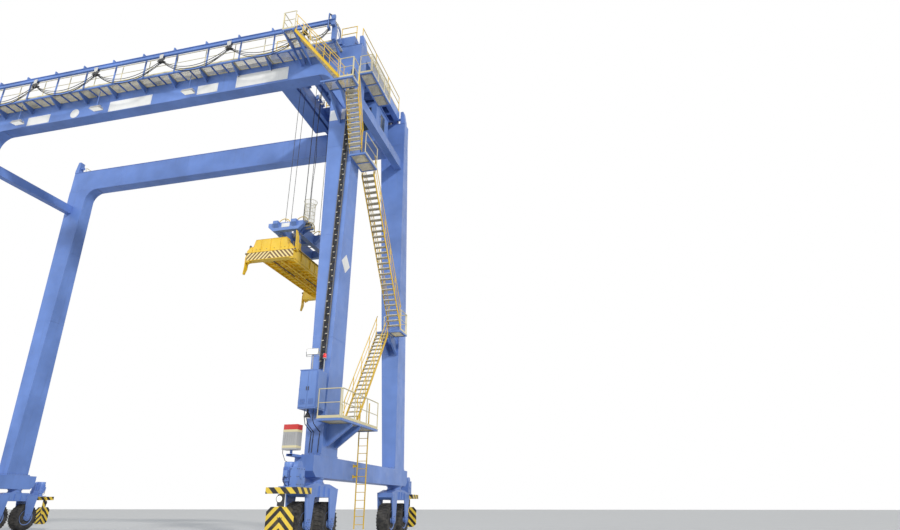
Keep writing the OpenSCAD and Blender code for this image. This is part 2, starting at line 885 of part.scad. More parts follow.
// Open guard frame over the hoist machinery
module machinery_guard() {
    left = hoist_x - 550;
    right = hoist_x + 2100;
    high = trolley_high + 1000;
    reach = 2000;
    for (face = [-reach, reach - 80]) {
        for (x = [left, (left + right) / 2, right - 80])
            block([x, face, trolley_high], [x + 80, face + 80, high]);
        for (level = [480, 920])
            block([left, face + 1, trolley_high + level], [right, face + 79, trolley_high + level + 80]);
    }
    for (x = [left, right - 80])
        block([x + 1, -reach, high - 80], [x + 79, reach, high]);
}

module trolley_house() {
    left = hoist_x + 2200;
    high = trolley_high + 1500;
    block([left, -1300, trolley_high], [left + 1050, 1300, high]);
    along_y(-1360, 2720)
        polygon([
            [left - 60, high], [left + 1110, high], [left + 1110, high + 40],
            [left + 525, high + 110], [left - 60, high + 40]
        ]);
}

module trolley_railings() {
    edge = rail_y - carriage_half;
    railing_y(-edge, edge, trolley_walk_left, trolley_low + 70, 4);
    railing_y(-edge + 60, edge - 60, trolley_deck_right - post, trolley_high, 3);
    top = carriage_high + 900;
    left = trolley_left + 60;
    for (x = [left, left + 700, left + 1400])
        block([x, -rail_y - 25, carriage_high], [x + post, -rail_y + 25, top]);
    for (level = [0, 420])
        block([left, -rail_y - 20, top - bar - level], [left + 1450, -rail_y + 20, top - level]);
    for (x = [trolley_right - 900, trolley_right - post])
        block([x, -rail_y - 25, carriage_high], [x + post, -rail_y + 25, top]);
    for (level = [0, 420])
        block(
            [trolley_right - 900, -rail_y - 20, top - bar - level],
            [trolley_right, -rail_y + 20, top - level]
        );
}

// Side outline of the cab, inset by a wall
module cab_outline(inset) {
    polygon([
        [cab_left + inset, cab_high - inset], [cab_right - inset, cab_high - inset],
        [cab_right - inset, cab_low + inset], [cab_left + 550 + inset * 0.4, cab_low + inset],
        [cab_left + inset, cab_low + 800 + inset * 0.4]
    ]);
}

// Windows cut through the cab walls
module cab_front_window(grow) {
    block(
        [cab_left - grow, cab_near + 140, cab_low + 1000],
        [cab_left + cab_wall + grow, cab_far - 140, cab_high - 300]
    );
}

module cab_side_windows(grow) {
    for (y = [cab_near, cab_far - cab_wall])
        along_y(y - grow, cab_wall + 2 * grow)
            polygon([
                [cab_left + 220, cab_high - 300], [cab_right - 350, cab_high - 300],
                [cab_right - 350, cab_low + 850], [cab_left + 400, cab_low + 700],
                [cab_left + 220, cab_low + 1000]
            ]);
}

module cab() {
    difference() {
        along_y(cab_near, cab_far - cab_near)
            cab_outline(0);
        along_y(cab_near + cab_wall, cab_far - cab_near - 2 * cab_wall)
            cab_outline(cab_wall);
        cab_front_window(5);
        cab_side_windows(5);
    }
    for (x = [cab_left + 150, cab_right - 250])
        for (y = [cab_near + 100, cab_far - 200])
            block([x, y, cab_high - 1], [x + 100, y + 100, trolley_low]);
    block([cab_left - 60, cab_near - 40, cab_high - 1], [cab_right + 60, cab_far + 40, cab_high + 60]);
}

module cab_glass() {
    pane = 12;
    block(
        [cab_left + 24, cab_near + 140, cab_low + 1000],
        [cab_left + 24 + pane, cab_far - 140, cab_high - 300]
    );
    intersection() {
        cab_side_windows(0);
        union() {
            for (y = [cab_near + 24, cab_far - 24 - pane])
                block([cab_left, y, cab_low], [cab_right, y + pane, cab_high]);
        }
    }
}

// Hoist ropes, one pair of falls to each sheave
module hoist_ropes() {
    fall = sheave_groove + rope_radius;
    for (sx = [-1, 1])
        for (sy = [-1, 1])
            for (side = [-1, 1])
                translate([hoist_x + sx * rope_x, sy * rope_y + side * fall, sheave_z])
                    cylinder(r = rope_radius, h = trolley_low - sheave_z, $fn = 24);
}

module at_sheaves() {
    for (sx = [-1, 1])
        for (sy = [-1, 1])
            translate([hoist_x + sx * rope_x, sy * rope_y, sheave_z])
                children();
}

// Grooved sheave with its pin and the rope that wraps under it
module sheave() {
    rotate([0, 90, 0]) {
        rotate_extrude($fn = 96)
            polygon([
                [0, -45], [sheave_rim, -45], [sheave_rim, -34], [sheave_groove, -rope_radius],
                [sheave_groove, rope_radius], [sheave_rim, 34], [sheave_rim, 45], [0, 45]
            ]);
        cylinder(r = 55, h = 210, center = true, $fn = round_steps);
    }
    rotate([90, 0, 90])
        rotate([0, 0, 180])
            rotate_extrude(angle = 180, $fn = 96)
                translate([sheave_groove + rope_radius, 0])
                    circle(r = rope_radius, $fn = 24);
}

// Headblock frame with the four sheaves in slots
module headblock() {
    low = spreader_height + 2000;
    high = spreader_height + 2550;
    difference() {
        union() {
            for (sx = [-1, 1])
                along_x(hoist_x + sx * rope_x - 130, 260)
                    polygon([
                        [-2100, high], [-2100, high - 160], [-1750, low], [1750, low],
                        [2100, high - 160], [2100, high]
                    ]);
            for (y = [-1950, -125, 1700])
                along_y(y, 250)
                    polygon([
                        [hoist_x - 950, high - 60], [hoist_x - 950, high - 260],
                        [hoist_x - 700, low + 60], [hoist_x + 700, low + 60],
                        [hoist_x + 950, high - 260], [hoist_x + 950, high - 60]
                    ]);
            at_sheaves()
                for (side = [-100, 75])
                    along_x(side, 25) {
                        circle(r = 300, $fn = round_steps);
                        translate([-300, -(sheave_z - high) - 1])
                            square([600, sheave_z - high + 1]);
                    }
        }
        at_sheaves()
            along_x(-60, 120) {
                circle(r = 320, $fn = round_steps);
                translate([-320, 0])
                    square([640, 320]);
            }
    }
    at_sheaves()
        sheave();
    for (sx = [-1, 1])
        for (y = [-1400, 1400])
            block(
                [hoist_x + sx * rope_x - 80, y - 80, pedestal_high],
                [hoist_x + sx * rope_x + 80, y + 80, low + 1]
            );
}

// Curved guards over the sheaves, between the rope falls
module sheave_guards() {
    at_sheaves()
        rotate([90, 0, 90])
            translate([0, 0, -100])
                rotate([0, 0, 40])
                    rotate_extrude(angle = 100, $fn = 96)
                        translate([300.2, 0])
                            square([16, 200]);
}

// Spreader main frame, a box with four channels for the telescopic arms
module spreader_frame() {
    difference() {
        block(
            [hoist_x - main_half, -main_reach, main_low],
            [hoist_x + main_half, main_reach, main_high]
        );
        for (x = concat(far_arms, near_arms))
            block(
                [hoist_x + x - arm_width / 2 - arm_gap, -main_reach - 1, arm_low - arm_gap],
                [hoist_x + x + arm_width / 2 + arm_gap, main_reach + 1, arm_low + arm_depth + arm_gap]
            );
        for (side = [-1, 1])
            for (y = [450 - main_reach, -main_reach / 2, main_reach / 5, main_reach - 1250])
                block(
                    [hoist_x + side * (main_half - 5) - 6, y, main_low + 120],
                    [hoist_x + side * (main_half - 5) + 6, y + 800, main_high - 120]
                );
    }
    wear_pads(far_arms, main_reach - 200);
    wear_pads(near_arms, -main_reach);
    for (sx = [-1, 1])
        for (y = [-1400, 1400]) {
            block(
                [hoist_x + sx * rope_x - 160, y - 160, main_high - 1],
                [hoist_x + sx * rope_x + 160, y + 160, main_high + 40]
            );
            block(
                [hoist_x + sx * rope_x - 110, y - 110, main_high + 39],
                [hoist_x + sx * rope_x + 110, y + 110, pedestal_high]
            );
        }
    block([hoist_x - 350, -520, main_high - 1], [hoist_x + 350, 520, main_high + 320]);
    block([hoist_x - 250, 620, main_high - 1], [hoist_x + 150, 1150, main_high + 220]);
}

module wear_pads(arms, y) {
    thick = arm_gap - pad_gap;
    for (x = arms) {
        left = hoist_x + x - arm_width / 2;
        block([left, y, arm_low - arm_gap - 1], [left + arm_width, y + 200, arm_low - arm_gap + thick]);
        block(
            [left, y, arm_low + arm_depth + pad_gap],
            [left + arm_width, y + 200, arm_low + arm_depth + arm_gap + 1]
        );
    }
}

// End beam with telescopic arms and twistlocks, drawn for the far end
module spreader_end(arms) {
    half = spreader_width / 2;
    translate([hoist_x, 0, 0]) {
        along_y(end_y, end_beam_width)
            polygon([
                [-half, end_beam_low], [half, end_beam_low], [half, end_beam_low + 500],
                [half - 180, end_beam_low + 700], [900, end_beam_low + 700],
                [800, end_beam_low + 1050], [-800, end_beam_low + 1050],
                [-900, end_beam_low + 700], [-half + 180, end_beam_low + 700],
                [-half, end_beam_low + 500]
            ]);
        for (x = arms)
            block(
                [x - arm_width / 2, -arm_tail, arm_low],
                [x + arm_width / 2, end_y + 1, arm_low + arm_depth]
            );
        for (side = [-1, 1]) {
            translate([side * lock_x, spreader_length / 2 - lock_inset, 0])
                twistlock();
            for (lug = [-knuckle_half - lug_plate - 0.5, knuckle_half + 0.5])
                along_y(end_y + end_beam_width / 2 + lug, lug_plate) {
                    translate([side * flipper_x, flipper_z])
                        circle(r = 55, $fn = round_steps);
                    translate([side * (half + flipper_x) / 2, flipper_z])
                        square([flipper_x - half + 2, 110], center = true);
                }
            translate([side * flipper_x, end_y + end_beam_width / 2, flipper_z])
                rotate([90, 0, 0])
                    cylinder(r = flipper_pin, h = pin_length, center = true, $fn = round_steps);
        }
    }
}

module twistlock() {
    block([-89, -100, spreader_height], [89, 100, end_beam_low + 1]);
    translate([0, 0, spreader_height - 40])
        cylinder(r = 28, h = 41, $fn = 48);
    translate([0, 0, spreader_height - 85])
        cylinder(r1 = 18, r2 = 48, h = 46, $fn = 48);
}

// Corner guide that hangs down from its pin, or stands up when turned
module flipper(turned) {
    translate([flipper_x, end_y + end_beam_width / 2, flipper_z])
        rotate([0, turned, 0]) {
            difference() {
                union() {
                    rotate([90, 0, 0])
                        cylinder(r = 50, h = 2 * knuckle_half, center = true, $fn = round_steps);
                    flipper_plate();
                }
                rotate([90, 0, 0])
                    cylinder(
                        r = flipper_pin + axle_gap,
                        h = 2 * knuckle_half + 2,
                        center = true,
                        $fn = round_steps
                    );
            }
        }
}

module flipper_plate() {
    intersection() {
        along_y(-200, 400)
            polygon([
                [-20, -10], [20, -10], [20, -flipper_length + 300], [90, -flipper_length],
                [50, -flipper_length], [-20, -flipper_length + 300]
            ]);
        along_x(-200, 400)
            polygon([
                [-knuckle_half, 0], [knuckle_half, 0], [knuckle_half, -90], [125, -200],
                [125, -flipper_length + 300], [70, -flipper_length], [-70, -flipper_length],
                [-125, -flipper_length + 300], [-125, -200], [-knuckle_half, -90]
            ]);
    }
}

module place_flipper(side, face, turned) {
    translate([hoist_x, 0, 0])
        scale([side, face, 1])
            flipper(turned);
}

set_origin() color(blue) mirror([0, 1, 0]) girder();  // near_girder
set_origin() color(blue) girder();  // far_girder
set_origin() color(blue) mirror([0, 1, 0]) leg();  // leg_near_right
set_origin() color(blue) leg();  // leg_far_right
set_origin() color(blue) mirror([1, 0, 0]) mirror([0, 1, 0]) leg();  // leg_near_left
set_origin() color(blue) mirror([1, 0, 0]) leg();  // leg_far_left
set_origin() color(blue) sill();  // sill_right
set_origin() color(blue) mirror([1, 0, 0]) sill();  // sill_left
set_origin() color(blue) leg_ties();
set_origin() color(blue) mirror([0, 1, 0]) bogie();  // bogie_near_right
set_origin() color(blue) bogie();  // bogie_far_right
set_origin() color(blue) mirror([1, 0, 0]) mirror([0, 1, 0]) bogie();  // bogie_near_left
set_origin() color(blue) mirror([1, 0, 0]) bogie();  // bogie_far_left
set_origin() color(black) place_wheel(1, -1, -1);  // wheel_1
set_origin() color(black) place_wheel(1, -1, 1);  // wheel_2
set_origin() color(black) place_wheel(1, 1, -1);  // wheel_3
set_origin() color(black) place_wheel(1, 1, 1);  // wheel_4
set_origin() color(black) place_wheel(-1, -1, -1);  // wheel_5
set_origin() color(black) place_wheel(-1, -1, 1);  // wheel_6
set_origin() color(black) place_wheel(-1, 1, -1);  // wheel_7
set_origin() color(black) place_wheel(-1, 1, 1);  // wheel_8
set_origin() color(blue) drive_units();
set_origin() color(yellow) bumper_bars();
set_origin() color(yellow) chevron_boards();
set_origin() color(grey) mirror([0, 1, 0]) walkway(12);  // near_walkway
set_origin() color(grey) walkway(12);  // far_walkway
set_origin() color(cream) near_railing();
set_origin() color(cream) far_railing();
set_origin() color(blue) festoon_rail();
set_origin() color(blue) landings();
set_origin() color(yellow) upper_flight();
set_origin() color(yellow) flight_1();
set_origin() color(yellow) flight_2();
set_origin() color(yellow) flight_3();
set_origin() color(yellow) stair_handrails();
set_origin() color(cream) landing_railings();
set_origin() color(yellow) access_ladder();
set_origin() color(grey) cable_ladder();
set_origin() color(blue) cabinet();
set_origin() color(grey) signal_box();
set_origin() color(red) leg_lamps();
set_origin() color(blue) trolley_frame();
set_origin() color(grey) trolley_wheels();
set_origin() color(grey) trolley_machinery();
set_origin() color(yellow) machinery_guard();
set_origin() color(cream) trolley_house();
set_origin() color(yellow) trolley_railings();
set_origin() color(blue) cab();
set_origin() color(glass) cab_glass();
set_origin() color(black) hoist_ropes();
set_origin() color(blue) headblock();
set_origin() color(yellow) sheave_guards();
set_origin() color(yellow) spreader_frame();
set_origin() color(yellow) mirror([0, 1, 0]) spreader_end(near_arms);  // spreader_end_near
set_origin() color(yellow) spreader_end(far_arms);  // spreader_end_far
set_origin() color(yellow) place_flipper(-1, -1, 0);  // flipper_near_left
set_origin() color(yellow) place_flipper(1, -1, 180);  // flipper_near_right
set_origin() color(yellow) place_flipper(-1, 1, 0);  // flipper_far_left
set_origin() color(yellow) place_flipper(1, 1, 180);  // flipper_far_right
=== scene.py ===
import math

import bmesh
import bpy
from mathutils import Matrix, Vector


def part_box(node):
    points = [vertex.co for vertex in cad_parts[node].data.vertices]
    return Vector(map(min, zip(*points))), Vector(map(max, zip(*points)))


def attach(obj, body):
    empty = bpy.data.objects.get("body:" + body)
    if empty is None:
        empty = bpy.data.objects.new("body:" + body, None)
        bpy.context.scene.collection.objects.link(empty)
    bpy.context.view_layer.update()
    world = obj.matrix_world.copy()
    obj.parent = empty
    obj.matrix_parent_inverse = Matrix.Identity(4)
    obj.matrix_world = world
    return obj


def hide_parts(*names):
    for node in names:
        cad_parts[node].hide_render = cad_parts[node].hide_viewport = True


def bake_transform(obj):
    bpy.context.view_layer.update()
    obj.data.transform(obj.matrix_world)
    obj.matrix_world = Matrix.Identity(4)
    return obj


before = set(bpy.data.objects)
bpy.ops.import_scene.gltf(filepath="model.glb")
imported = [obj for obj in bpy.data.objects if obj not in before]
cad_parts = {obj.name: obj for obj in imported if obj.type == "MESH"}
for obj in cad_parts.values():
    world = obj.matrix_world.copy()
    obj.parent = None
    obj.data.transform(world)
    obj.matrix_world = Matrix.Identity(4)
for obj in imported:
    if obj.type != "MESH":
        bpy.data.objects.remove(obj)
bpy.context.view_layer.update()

# Layout in metres, measured from the middle of the portal. Shape.done moves it by SHIFT to the frame's middle.
SHIFT = -0.4
HALF = 12.25  # outer faces of the legs
HOIST = 7.95  # middle of the hoist, where the trolley stands
BOTTOM, TOP = 21.65, 23.2  # girders
SILL = 3.05  # top of the sill beams
WEB, WALK_OUTER, WALK = 3.83, 4.6, 22.95  # girder web, outer edge and level of the walkways
WALK_LEFT, WALK_RIGHT = -HALF + 0.05, HALF - 1.05
FOOT, AXLE = HALF - 0.38, 0.75  # wheel line and height of the axles
BOGIE, WHEEL_REACH = 4.5, 0.95  # middle of the bogies, and the wheels' distance from it
FORK_IN, FORK_OUT = 0.34, 0.39  # faces of the fork plates beside a wheel
DECK = 23.96  # top of the trolley's deck
DRUM_X, DRUM_Z = HOIST + 1.25, DECK + 0.56
SHEAVES = (-1.164, -0.636, 0.636, 1.164)  # falls of the hoist ropes across the trolley
BOX_LOW, BOX_HIGH = 12.35, 12.99  # main box of the spreader
BAND_LOW, BAND_HIGH = 12.08, 12.46  # striped band of the spreader's end beams
PAIR = (-1, 1)

SPECULAR = 0.36  # of every surface
ROD_SIDES = 12


def shade(color, times, plus=0.0):
    return tuple(min(1.0, c * times + plus) for c in color)


def around(count, first=0.0):
    """Cosine and sine at even steps round a circle."""
    return [(math.cos(t), math.sin(t)) for t in (math.tau * k / count + first for k in range(count))]


# Materials
class Tree:
    """Emptied node tree of a material or a world."""

    def __init__(self, owner):
        owner.use_nodes = True
        self.owner, self.tree = owner, owner.node_tree
        self.tree.nodes.clear()

    def new(self, kind, inputs=None, **values):
        node = self.tree.nodes.new(kind)
        for key, value in values.items():
            setattr(node, key, value)
        self.put(node, inputs or {})
        return node

    def put(self, node, inputs):
        """Links a socket, or sets a number or colour, on each named input."""
        for key, value in inputs.items():
            socket = node.inputs[key]
            if isinstance(value, bpy.types.NodeSocket):
                self.tree.links.new(value, socket)
            else:
                socket.default_value = (*value, 1.0) if socket.type == "RGBA" else value

    def math(self, op, a, b=0.0, clamp=False):
        return self.new("ShaderNodeMath", {0: a, 1: b}, operation=op, use_clamp=clamp).outputs[0]


class Nodes(Tree):
    """Node tree of a new material, with the object's own coordinates at hand."""

    def __init__(self, name):
        super().__init__(bpy.data.materials.new(name))
        self.bsdf = self.new("ShaderNodeBsdfPrincipled")
        self.new("ShaderNodeOutputMaterial", {"Surface": self.bsdf.outputs["BSDF"]})
        self.at = self.new("ShaderNodeTexCoord").outputs["Object"]

    def noise(self, scale, detail=4.0, rough=0.55, stretch=None):
        at = self.at
        if stretch:
            at = self.new("ShaderNodeMapping", {"Vector": at, "Scale": stretch}).outputs[0]
        inputs = {"Vector": at, "Scale": scale, "Detail": detail, "Roughness": rough}
        return self.new("ShaderNodeTexNoise", inputs).outputs["Fac"]

    def cells(self, scale):
        return self.new("ShaderNodeTexVoronoi", {"Vector": self.at, "Scale": scale}).outputs["Distance"]

    def ramp(self, value, low, high, to_low=0.0, to_high=1.0):
        inputs = {"Value": value, "From Min": low, "From Max": high, "To Min": to_low, "To Max": to_high}
        return self.new("ShaderNodeMapRange", inputs).outputs[0]

    def mix(self, factor, a, b):
        return self.new("ShaderNodeMix", {0: factor, 6: a, 7: b}, data_type="RGBA").outputs[2]

    def xyz(self):
        return self.new("ShaderNodeSeparateXYZ", {0: self.at}).outputs

    def rounded(self, radius):
        return self.new("ShaderNodeBevel", {"Radius": radius}, samples=4).outputs[0]

    def edges(self, radius):
        """Mask of the sharp edges, from a rounded normal."""
        normals = {0: self.rounded(radius), 1: self.new("ShaderNodeNewGeometry").outputs["Normal"]}
        dot = self.new("ShaderNodeVectorMath", normals, operation="DOT_PRODUCT")
        return self.math("SUBTRACT", 1.0, dot.outputs["Value"], clamp=True)

    def surface(self, color, rough, height=None, depth=0.001, rounding=None, metal=0.0, coat=0.0):
        inputs = {"Base Color": color, "Roughness": rough, "Metallic": metal, "Specular IOR Level": SPECULAR}
        if coat:
            inputs.update({"Coat Weight": coat, "Coat Roughness": 0.18})
        if rounding:
            inputs["Normal"] = self.rounded(rounding)
        if height is not None:
            bump = self.new("ShaderNodeBump", {"Distance": depth, "Strength": 0.6, "Height": height})
            if rounding:
                self.put(bump, {"Normal": inputs["Normal"]})
            inputs["Normal"] = bump.outputs[0]
        self.put(self.bsdf, inputs)
        return self.owner


def paint(name, color, rough=0.42, wear=0.5, dirt=0.35, rounding=0.012, coat=0.12, pattern=None,
          worn=(0.42, 0.36, 0.3)):
    """Weathered enamel: slow colour drift, rain streaks, scuffed edges, orange peel."""
    n = Nodes(name)
    base = n.mix(n.ramp(n.noise(0.45, 3.0), 0.3, 0.7), shade(color, 0.8), shade(color, 1.14, 0.012))
    if pattern:
        base = pattern(n, base)
    streak = n.noise(1.0, 6.0, 0.65, stretch=(5.0, 5.0, 0.28))
    base = n.mix(n.ramp(streak, 0.56, 0.78, 0.0, dirt), base, shade(color, 0.45, 0.03))
    base = n.mix(n.ramp(n.noise(2.3, 5.0, 0.6), 0.55, 0.8, 0.0, 0.16), base, shade(color, 0.8, 0.16))
    edge = n.ramp(n.edges(rounding * 1.6), 0.02, 0.2)
    chips = n.ramp(n.noise(14.0, 5.0, 0.7), 0.5, 0.62)
    base = n.mix(n.math("MULTIPLY", n.math("MULTIPLY", edge, chips), wear), base, worn)
    gloss = n.ramp(n.noise(3.0, 4.0), 0.3, 0.7, rough - 0.09, rough + 0.12)
    return n.surface(base, gloss, n.noise(90.0, 2.0), 0.0012, rounding, coat=coat)


def band(n, along, up, pitch):
    """Slanting bands: one half of each pitch along the sum of two coordinates."""
    phase = n.math("FRACT", n.math("DIVIDE", n.math("ADD", along, up), pitch))
    return n.math("GREATER_THAN", phase, 0.5)


def distance(n, value, middle):
    return n.math("ABSOLUTE", n.math("SUBTRACT", value, middle))


def bumper_bands(n, base):
    x, y, z = n.xyz()
    return n.mix(band(n, n.math("ADD", x, y), z, 0.42), base, (0.025, 0.025, 0.03))


def chevron_bands(n, base):
    x, _, z = n.xyz()
    side = distance(n, distance(n, x, SHIFT), FOOT)
    return n.mix(band(n, side, z, 0.34), base, (0.02, 0.02, 0.022))


def end_beam_bands(n, base):
    """Bands that meet at the middle of the hoist, on the outer faces of the end beams."""
    x, y, z = n.xyz()
    bands = band(n, distance(n, x, HOIST + SHIFT), n.math("MULTIPLY", z, 0.9), 0.2)
    inside = n.math("MULTIPLY", n.math("GREATER_THAN", z, BAND_LOW), n.math("LESS_THAN", z, BAND_HIGH))
    inside = n.math("MULTIPLY", inside, n.math("GREATER_THAN", n.math("ABSOLUTE", y), 3.0295))
    return n.mix(inside, base, n.mix(bands, (0.90, 0.72, 0.30), (0.16, 0.075, 0.012)))


def galvanised(name, color, metal=0.65):
    n = Nodes(name)
    base = n.mix(n.ramp(n.cells(28.0), 0.0, 0.7), shade(color, 0.82), shade(color, 1.15))
    base = n.mix(n.ramp(n.noise(1.7, 6.0, 0.7), 0.6, 0.78, 0.0, 0.5), base, (0.3, 0.2, 0.12))
    return n.surface(base, n.ramp(n.noise(6.0), 0.3, 0.7, 0.4, 0.65), n.noise(70.0), metal=metal)


def rubber():
    n = Nodes("tyre_rubber")
    dust = n.ramp(n.noise(3.5, 6.0, 0.65), 0.42, 0.72, 0.0, 0.75)
    base = n.mix(dust, (0.022, 0.022, 0.024), (0.13, 0.12, 0.105))
    return n.surface(base, n.ramp(n.noise(8.0), 0.3, 0.7, 0.68, 0.9), n.noise(60.0, 5.0), 0.004, 0.01)


def wire_rope():
    n = Nodes("wire_rope")
    x, y, z = n.xyz()
    along = n.math("ADD", z, n.math("MULTIPLY", n.math("ADD", x, y), 1.4))
    lay = n.math("SINE", n.math("MULTIPLY", along, 260.0))
    # painted shade: the colour darkens in the grooves between the strands, where the lay's bump is low
    base = n.mix(n.ramp(lay, -1.0, 1.0), (0.03, 0.028, 0.026), (0.2, 0.19, 0.18))
    return n.surface(base, n.ramp(n.noise(30.0), 0.3, 0.7, 0.35, 0.6), lay, 0.003, metal=0.6)


def dark_steel():
    n = Nodes("dark_steel")
    color = (0.12, 0.12, 0.13)
    grain = n.noise(40.0, 5.0, 0.6, stretch=(1.0, 1.0, 0.2))
    base = n.mix(n.ramp(grain, 0.3, 0.7), shade(color, 0.75), color)
    base = n.mix(n.ramp(n.noise(5.0, 6.0, 0.7), 0.58, 0.75, 0.0, 0.4), base, (0.2, 0.12, 0.07))
    return n.surface(base, n.ramp(grain, 0.3, 0.7, 0.37, 0.6), grain, 0.0008, metal=0.85)


def cable_sheath():
    n = Nodes("cable_black")
    color = (0.02, 0.02, 0.022)
    base = n.mix(n.ramp(n.noise(9.0, 5.0), 0.4, 0.75), color, shade(color, 0.6, 0.06))
    return n.surface(base, n.ramp(n.noise(20.0), 0.3, 0.7, 0.5, 0.72), n.noise(120.0), 0.0006)


def window_glass():
    n = Nodes("window_glass")
    smear = n.noise(4.0, 5.0, 0.6, stretch=(1.0, 1.0, 0.4))
    tint = n.mix(n.ramp(smear, 0.35, 0.7), (0.03, 0.05, 0.06), (0.09, 0.12, 0.14))
    n.put(n.bsdf, {"Transmission Weight": 0.35, "IOR": 1.5})
    return n.surface(tint, n.ramp(smear, 0.3, 0.75, 0.05, 0.16))


def lens(name, color, glow):
    n = Nodes(name)
    cell = n.cells(60.0)
    base = n.mix(n.ramp(cell, 0.1, 0.6), color, shade(color, 0.6))
    n.put(n.bsdf, {"Emission Color": color, "Emission Strength": glow})
    return n.surface(base, n.ramp(n.noise(20.0), 0.3, 0.7, 0.08, 0.2), cell, 0.002, coat=0.5)


HOIST_PAINT = {"color": (0.88, 0.555, 0.014), "wear": 0.7, "dirt": 0.5, "rounding": 0.01, "worn": (0.25, 0.2, 0.16)}
M = {
    "blue": paint("crane_blue", (0.135, 0.245, 0.600), rounding=0.015),
    "blue_fine": paint("crane_blue_fine", (0.140, 0.255, 0.610), rounding=0.006),
    "yellow": paint("stair_yellow", (0.84, 0.55, 0.03), wear=0.4, rounding=0.006),
    "orange": paint("spreader_yellow", **HOIST_PAINT),
    "hazard": paint("end_beam_stripes", pattern=end_beam_bands, **HOIST_PAINT),
    "cream": paint("railing_cream", (0.74, 0.66, 0.40), wear=0.4, rounding=0.006),
    "white": paint("plate_white", (0.82, 0.82, 0.80), wear=0.2, dirt=0.25, rounding=0.004),
    "house": paint("house_beige", (0.66, 0.60, 0.44), wear=0.3, rounding=0.01),
    "grey": paint("box_grey", (0.42, 0.42, 0.42), wear=0.4, rounding=0.006),
    "black": paint("fitting_black", (0.03, 0.03, 0.033), wear=0.25, rounding=0.005),
    "red": paint("lid_red", (0.62, 0.03, 0.025), wear=0.2, rounding=0.01, coat=0.4),
    "bumper": paint("bumper_stripes", (0.84, 0.60, 0.06), wear=0.4, pattern=bumper_bands, rounding=0.006),
    "chevron": paint("chevron_stripes", (0.84, 0.60, 0.06), wear=0.3, pattern=chevron_bands, rounding=0.003),
    "galv": galvanised("galvanised_steel", (0.56, 0.55, 0.52)),
    "grating": galvanised("grating_beige", (0.62, 0.58, 0.46), metal=0.25),
    "tray": galvanised("tray_grey", (0.17, 0.165, 0.16), metal=0.3),
    "rubber": rubber(),
    "rope": wire_rope(),
    "dark_steel": dark_steel(),
    "cable": cable_sheath(),
    "glass": window_glass(),
    "red_lens": lens("beacon_lens", (0.8, 0.02, 0.02), 0.5),
    "white_lens": lens("lamp_lens", (0.9, 0.88, 0.8), 0.6),
}

CAD_LOOK = {
    "blue": "near_girder far_girder leg_near_right leg_far_right leg_near_left leg_far_left sill_right sill_left"
            " leg_ties bogie_near_right bogie_far_right bogie_near_left bogie_far_left drive_units",
    "blue_fine": "festoon_rail landings cabinet trolley_frame cab headblock",
    "galv": "trolley_wheels trolley_machinery",
    "tray": "cable_ladder",
    "grating": "near_walkway far_walkway",
    "cream": "near_railing far_railing landing_railings",
    "yellow": "upper_flight flight_1 flight_2 flight_3 stair_handrails access_ladder machinery_guard"
              " trolley_railings sheave_guards",
    "bumper": "bumper_bars",
    "chevron": "chevron_boards",
    "orange": "spreader_frame flipper_near_left flipper_near_right flipper_far_left flipper_far_right",
    "hazard": "spreader_end_near spreader_end_far",
    "house": "trolley_house",
    "grey": "signal_box leg_lamps",
    "glass": "cab_glass",
    "rope": "hoist_ropes",
    "rubber": "wheel_1 wheel_2 wheel_3 wheel_4 wheel_5 wheel_6 wheel_7 wheel_8",
}
for look, names in CAD_LOOK.items():
    for name in names.split():
        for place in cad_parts[name].material_slots:
            place.material = M[look]

# Mesh helpers
SIX_FACES = [(0, 3, 2, 1), (4, 5, 6, 7), (0, 1, 5, 4), (1, 2, 6, 5), (2, 3, 7, 6), (3, 0, 4, 7)]


def skin(rings, sides, closed=False):
    """Faces over a row of rings, with a cap at both ends unless the row is closed."""
    faces = []
    for i in range(rings if closed else rings - 1):
        a, b = i * sides, (i + 1) % rings * sides
        faces += [(a + k, a + (k + 1) % sides, b + (k + 1) % sides, b + k) for k in range(sides)]
    if not closed:
        faces += [tuple(range(sides))[::-1], tuple((rings - 1) * sides + k for k in range(sides))]
    return faces


def mirror(side, face):
    """Placement that draws the right far corner's part at another corner."""
    return Matrix.Scale(side, 4, (1, 0, 0)) @ Matrix.Scale(face, 4, (0, 1, 0))


